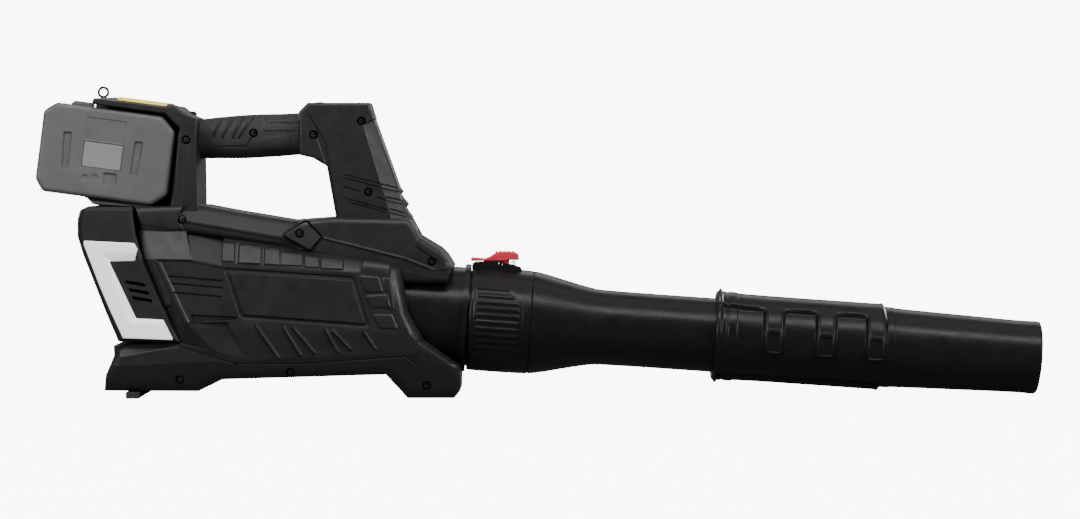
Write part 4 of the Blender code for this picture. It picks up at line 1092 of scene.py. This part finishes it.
def tube_features():
    """A sunk panel with nine bars on each side, and a groove all the way round."""
    features = []
    panel = [(-0.0560, 52), (-0.0560, 128), (-0.0260, 128), (-0.0150, 118), (-0.0150, 68), (-0.0270, 52)]
    for middle in (0, -180):
        moved = [(station, turn_at(degrees) + turn_at(middle)) for station, degrees in panel]
        features.append(patch(rounded(moved, 0.0030), -0.0009, 0.0012))
        for row in range(9):
            turn = turn_at(middle + 60 + row * 7.5)
            end = -0.0195 if 0 < row < 8 else -0.0240
            features.append(raised_bar((-0.0525, turn), (end, turn), 0.0011, 0.0008, 0.0010))
    low, high = SEAM_TURN * WRAP_R, (SEAM_TURN + math.tau) * WRAP_R
    features.append(groove((-0.0080, low), (-0.0080, high), 0.0012, 0.0006))
    return features


def pin_space(radius):
    """The bore for the latch's pin."""
    profile = [(-0.020, 0.0), (-0.020, radius), (0.020, radius), (0.020, 0.0)]
    return turned("cut_pin", profile, 24, PIN, axis="Y")


def pin_cheeks():
    """The two upright plates that hold the latch's pin."""
    outline = rounded([
        (-0.0576, 0.1060), (-0.0576, 0.1118), (-0.0550, 0.1132), (-0.0330, 0.1136), (-0.0160, 0.1085),
        (-0.0150, 0.1030),
    ], 0.0016)
    cheeks = [prism("cheek", outline, *sorted((side * 0.0062, side * 0.0092))) for side in (RIGHT, LEFT)]
    cut(pin_space(PIN_RADIUS), *cheeks)
    return cheeks


def lug(middle):
    """One of the blocks that run in the nozzle's tracks, at the given degrees round the tube."""
    turn = Matrix.Rotation(math.radians(middle + 5), 4, "X")
    place = TUBE @ turn @ Matrix.Translation((0.200, 0.0, 0.0322))
    return box_mesh("lug", (-0.004, -0.005, -0.0012), (0.004, 0.005, 0.0009), place)


def rear_tube():
    outer = smooth_profile([
        (-0.0600, 0.0432), (-0.0585, 0.0442), (-0.0120, 0.0442), (0.0010, 0.0425), (0.0200, 0.0378),
        (0.0400, 0.0333), (0.0520, 0.0315), (0.2105, 0.0315), (0.2120, 0.0308),
    ])
    inner = [
        (-0.0600, 0.0412), (-0.0350, 0.0412), (-0.0350, 0.0385), (-0.0040, 0.0385), (0.0520, 0.0289),
        (0.2120, 0.0289),
    ]
    parts = [*pin_cheeks(), lug(0), lug(180)]
    for part in parts:
        soft_edges(part, 0.0005)
    tube = wrapped("rear_tube_shell", outer, inner, tube_features(), TUBE)
    finish(merge("rear_tube_piece", [tube, *parts]), "tube", "tube_black", "rear_tube")


def latch():
    """The lever: a rounded bar with five ribs for the thumb, and a web that the pin runs through."""
    outline = [
        (-0.0586, 0.1141), (-0.0586, 0.1173), (-0.0467, 0.1161), (-0.0425, 0.1178), (-0.0382, 0.1207),
        (-0.0340, 0.1222), (-0.0221, 0.1218), (-0.0185, 0.1200), (-0.0174, 0.1148), (-0.0255, 0.1150),
        (-0.0290, 0.1141),
    ]
    loop = rounded(outline, 0.0010, 2)
    rim = round_edge(loop, 0.0012, 0.0012, 4)
    parts = [side_piece("latch_side", loop, [rim], 0.0085, side, 0.0) for side in (RIGHT, LEFT)]
    rib_gap = 0.0036
    for row in range(5):
        centre = (-0.0372 + row * rib_gap, 0.1218)
        parts.append(prism("latch_rib", circle(centre, 0.0008, 12), -0.0070, 0.0070))
    web = [  # measured from the pin
        (-0.0140, 0.0040), (-0.0140, 0.0010), (-0.0020, -0.0029), (0.0020, -0.0029), (0.0075, 0.0),
        (0.0075, 0.0045),
    ]
    pin = PIN.translation
    parts.append(prism("latch_web", [(pin.x + x, pin.z + z) for x, z in web], -0.0058, 0.0058))
    cut(pin_space(PIN_RADIUS + 0.0001), *parts)
    finish(merge("latch_piece", parts), "latch", "control_red", "latch_lever")


def comb(middle):
    """The raised track for the lugs: a channel along the nozzle with three fingers down its side."""
    top, bottom, tip = (turn_at(middle + degrees) for degrees in (-22, 44, 108))
    loop = [(0.1500, top), (0.2900, top), (0.2900, turn_at(middle + 30))]
    for start in reversed(FINGER_STARTS):
        loop += [(start + FINGER_WIDE, bottom), (start + FINGER_WIDE, tip), (start, tip), (start, bottom)]
    return loop + [(0.1500, bottom)]


def latch_spring():
    """The coil under the lever's front end, made as one fixed coil at the length of its CAD part."""
    low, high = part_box("latch_spring")
    wire = 0.00035
    radius = (high.x - low.x) / 2 - wire
    middle = (high.x + low.x) / 2
    turns, per_turn = 5, 24
    curve = bpy.data.curves.new("spring_path", "CURVE")
    curve.dimensions = "3D"
    curve.bevel_depth = wire
    curve.bevel_resolution = 3
    curve.use_fill_caps = True
    spline = curve.splines.new("POLY")
    spline.points.add(turns * per_turn)
    for i, point in enumerate(spline.points):
        turn = i / per_turn
        share = min(1.0, max(0.0, (turn - 0.75) / (turns - 1.5)))  # both end turns lie flat
        height = low.z + wire + (high.z - low.z - 2 * wire) * share
        angle = math.tau * turn
        point.co = (middle + radius * math.cos(angle), radius * math.sin(angle), height, 1.0)
    piece = merge("latch_spring_piece", [link_object("spring_path", curve)])
    finish(piece, "tube", "steel", "latch_spring", sharp=60)
    piece.modifiers.clear()
    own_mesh(piece)


def nozzle_features():
    """On each side the raised comb with a sunk middle, and a bar across each of its fingers."""
    features = []
    margin = 0.0030
    for middle in (0, -180):
        outline = rounded(comb(middle), 0.0045, 5)
        features.append(patch(outline, 0.0030, 0.0022, 0.0004))
        features.append(patch(inset(outline, 0.0026), -0.0007, 0.0009))
        top, bottom = turn_at(middle + 74), turn_at(middle + 80)
        for start in FINGER_STARTS:
            mark = rectangle(start + margin, top, start + FINGER_WIDE - margin, bottom)
            features.append(patch(rounded(mark, 0.0010), 0.0012, 0.0010))
    return features


def nozzle():
    outer = smooth_profile([
        (0.1480, 0.0368), (0.1490, 0.0374), (0.1515, 0.0374), (0.1525, 0.0356), (0.1560, 0.0356),
        (0.1565, 0.0350), (0.1580, 0.0350), (0.1585, 0.0356), (0.1650, 0.0356), (0.1665, 0.0343),
        (0.2940, 0.0343), (0.2975, 0.0343), (0.3000, 0.0336), (0.3500, 0.0322), (0.4000, 0.0308),
        (0.4130, 0.0307), (0.4190, 0.0310), (0.4225, 0.0309), (0.4235, 0.0303),
    ], steps=3)
    inner = [(0.1480, 0.0322), (0.3060, 0.0322), (0.3080, 0.0313), (0.4235, 0.0282)]
    piece = wrapped("nozzle_piece", outer, inner, nozzle_features(), TUBE)
    finish(piece, "nozzle", "tube_black", "nozzle")


# ---- everything else ----------------------------------------------------------------------------
def carried_over():
    """Small and inner parts that keep the CAD model's shape, with softened edges."""
    rows = {  # node: body, material, width of the soft edges
        "intake_guard": ("housing", "housing_black", 0.0003),
        "foot_pad_right": ("housing", "grip_rubber", 0.0004),
        "foot_pad_left": ("housing", "grip_rubber", 0.0004),
        "strap_ring": ("ring", "dark_steel", 0.0),
        "speed_dial": ("dial", "control_red", 0.0003),
        "fan_duct": ("housing", "tube_black", 0.0),
        "tail_cone": ("housing", "tube_black", 0.0003),
        "fan_impeller": ("fan", "fan_plastic", 0.0),
        "controller_board": ("housing", "board", 0.0003),
        "terminal_block": ("housing", "housing_black", 0.0002),
    }
    for node, row in rows.items():
        polished(node, *row)
    kept = {
        "motor_can": "motor_metal", "bearing_rear": "steel", "bearing_front": "steel", "motor_shaft": "steel",
        "rotor_magnets": "motor_metal", "fan_nut": "steel", "latch_pin": "dark_steel",
        "battery_cells": "cells", "dial_sensor": "board",
    }
    for node, material in kept.items():
        mesh = frame["nodes"][node].data
        mesh.materials.clear()
        mesh.materials.append(MATERIALS[material])


# ---- stage --------------------------------------------------------------------------------------
BACKGROUND_GLOW = 9.0


def seen_and_cast(tree, seen, cast):
    """A strength that differs between what the camera sees and the light that is cast."""
    path = tree.nodes.new("ShaderNodeLightPath")
    mix = tree.nodes.new("ShaderNodeMapRange")
    mix.inputs["To Min"].default_value = cast
    mix.inputs["To Max"].default_value = seen
    tree.links.new(path.outputs["Is Camera Ray"], mix.inputs["Value"])
    return mix.outputs["Result"]


def floor():
    """A plain pale floor that runs out to the horizon."""
    bm = bmesh.new()
    bmesh.ops.create_circle(bm, cap_ends=True, segments=64, radius=60.0)
    obj = object_of("floor", bm)
    obj.location.z = -0.0003
    paper = Surface("studio_paper", (0.15, 0.15, 0.15), 0.9, specular=0.1)
    paper.vary_colour(paper.noise(0.5, 2.0), 0.01)
    paper.vary_roughness(paper.noise(0.2, 2.0), 0.03)
    paper.shader.inputs["Emission Color"].default_value = (1.0, 1.0, 1.0, 1.0)
    paper.link(seen_and_cast(paper.tree, BACKGROUND_GLOW, 0.0), paper.shader.inputs["Emission Strength"])
    obj.data.materials.append(paper.material)


def area_light(name, place, target, size, power):
    lamp = bpy.data.lights.new(name, "AREA")
    lamp.shape = "RECTANGLE"
    lamp.size, lamp.size_y = size
    lamp.energy = power
    obj = link_object(name, lamp)
    obj.location = place
    obj.rotation_euler = (Vector(target) - Vector(place)).to_track_quat("-Z", "Y").to_euler()


def studio():
    floor()
    world = bpy.data.worlds.new("studio")
    world.use_nodes = True
    background = world.node_tree.nodes["Background"]
    background.inputs["Color"].default_value = (1.0, 1.0, 1.0, 1.0)
    strength = seen_and_cast(world.node_tree, BACKGROUND_GLOW, 0.14)
    world.node_tree.links.new(strength, background.inputs["Strength"])
    bpy.context.scene.world = world
    area_light("key_light", (0.1, -1.10, 1.75), (0.0, 0.0, 0.1), (2.6, 0.40), 50)
    area_light("top_light", (0.0, 0.1, 2.0), (0.0, 0.0, 0.1), (2.6, 1.2), 13)
    area_light("front_light", (-1.7, -2.0, 1.0), (-0.2, 0.0, 0.12), (1.2, 1.0), 56)
    area_light("right_light", (2.3, -1.2, 0.9), (0.0, 0.0, 0.12), (0.9, 0.9), 52)
    area_light("back_light", (0.3, 1.9, 1.5), (0.0, 0.0, 0.12), (2.4, 0.8), 12)
    area_light("rear_left_light", (-1.9, 1.9, 0.8), (-0.2, 0.0, 0.12), (1.0, 0.9), 42)
    area_light("rear_right_light", (1.9, 1.9, 0.8), (0.0, 0.0, 0.12), (1.0, 0.9), 30)


def camera():
    target = Vector((0.0, 0.0, 0.1152))
    rise, distance = math.radians(2.0), 2.6
    lens = bpy.data.cameras.new("camera")
    lens.lens = 102
    lens.sensor_width = 36
    obj = link_object("camera", lens)
    obj.location = target + Vector((0.0, -math.cos(rise), math.sin(rise))) * distance
    obj.rotation_euler = (target - obj.location).to_track_quat("-Z", "Y").to_euler()
    bpy.context.scene.camera = obj


def build():
    housing(RIGHT, "housing_right")
    housing(LEFT, "housing_left")
    rear_cover()
    roof_label()
    grips()
    trims()
    for name in SCREWS:
        screw(name)
    battery()
    rear_tube()
    nozzle()
    latch()
    latch_spring()
    carried_over()
    studio()
    camera()


build()
bpy.context.view_layer.update()
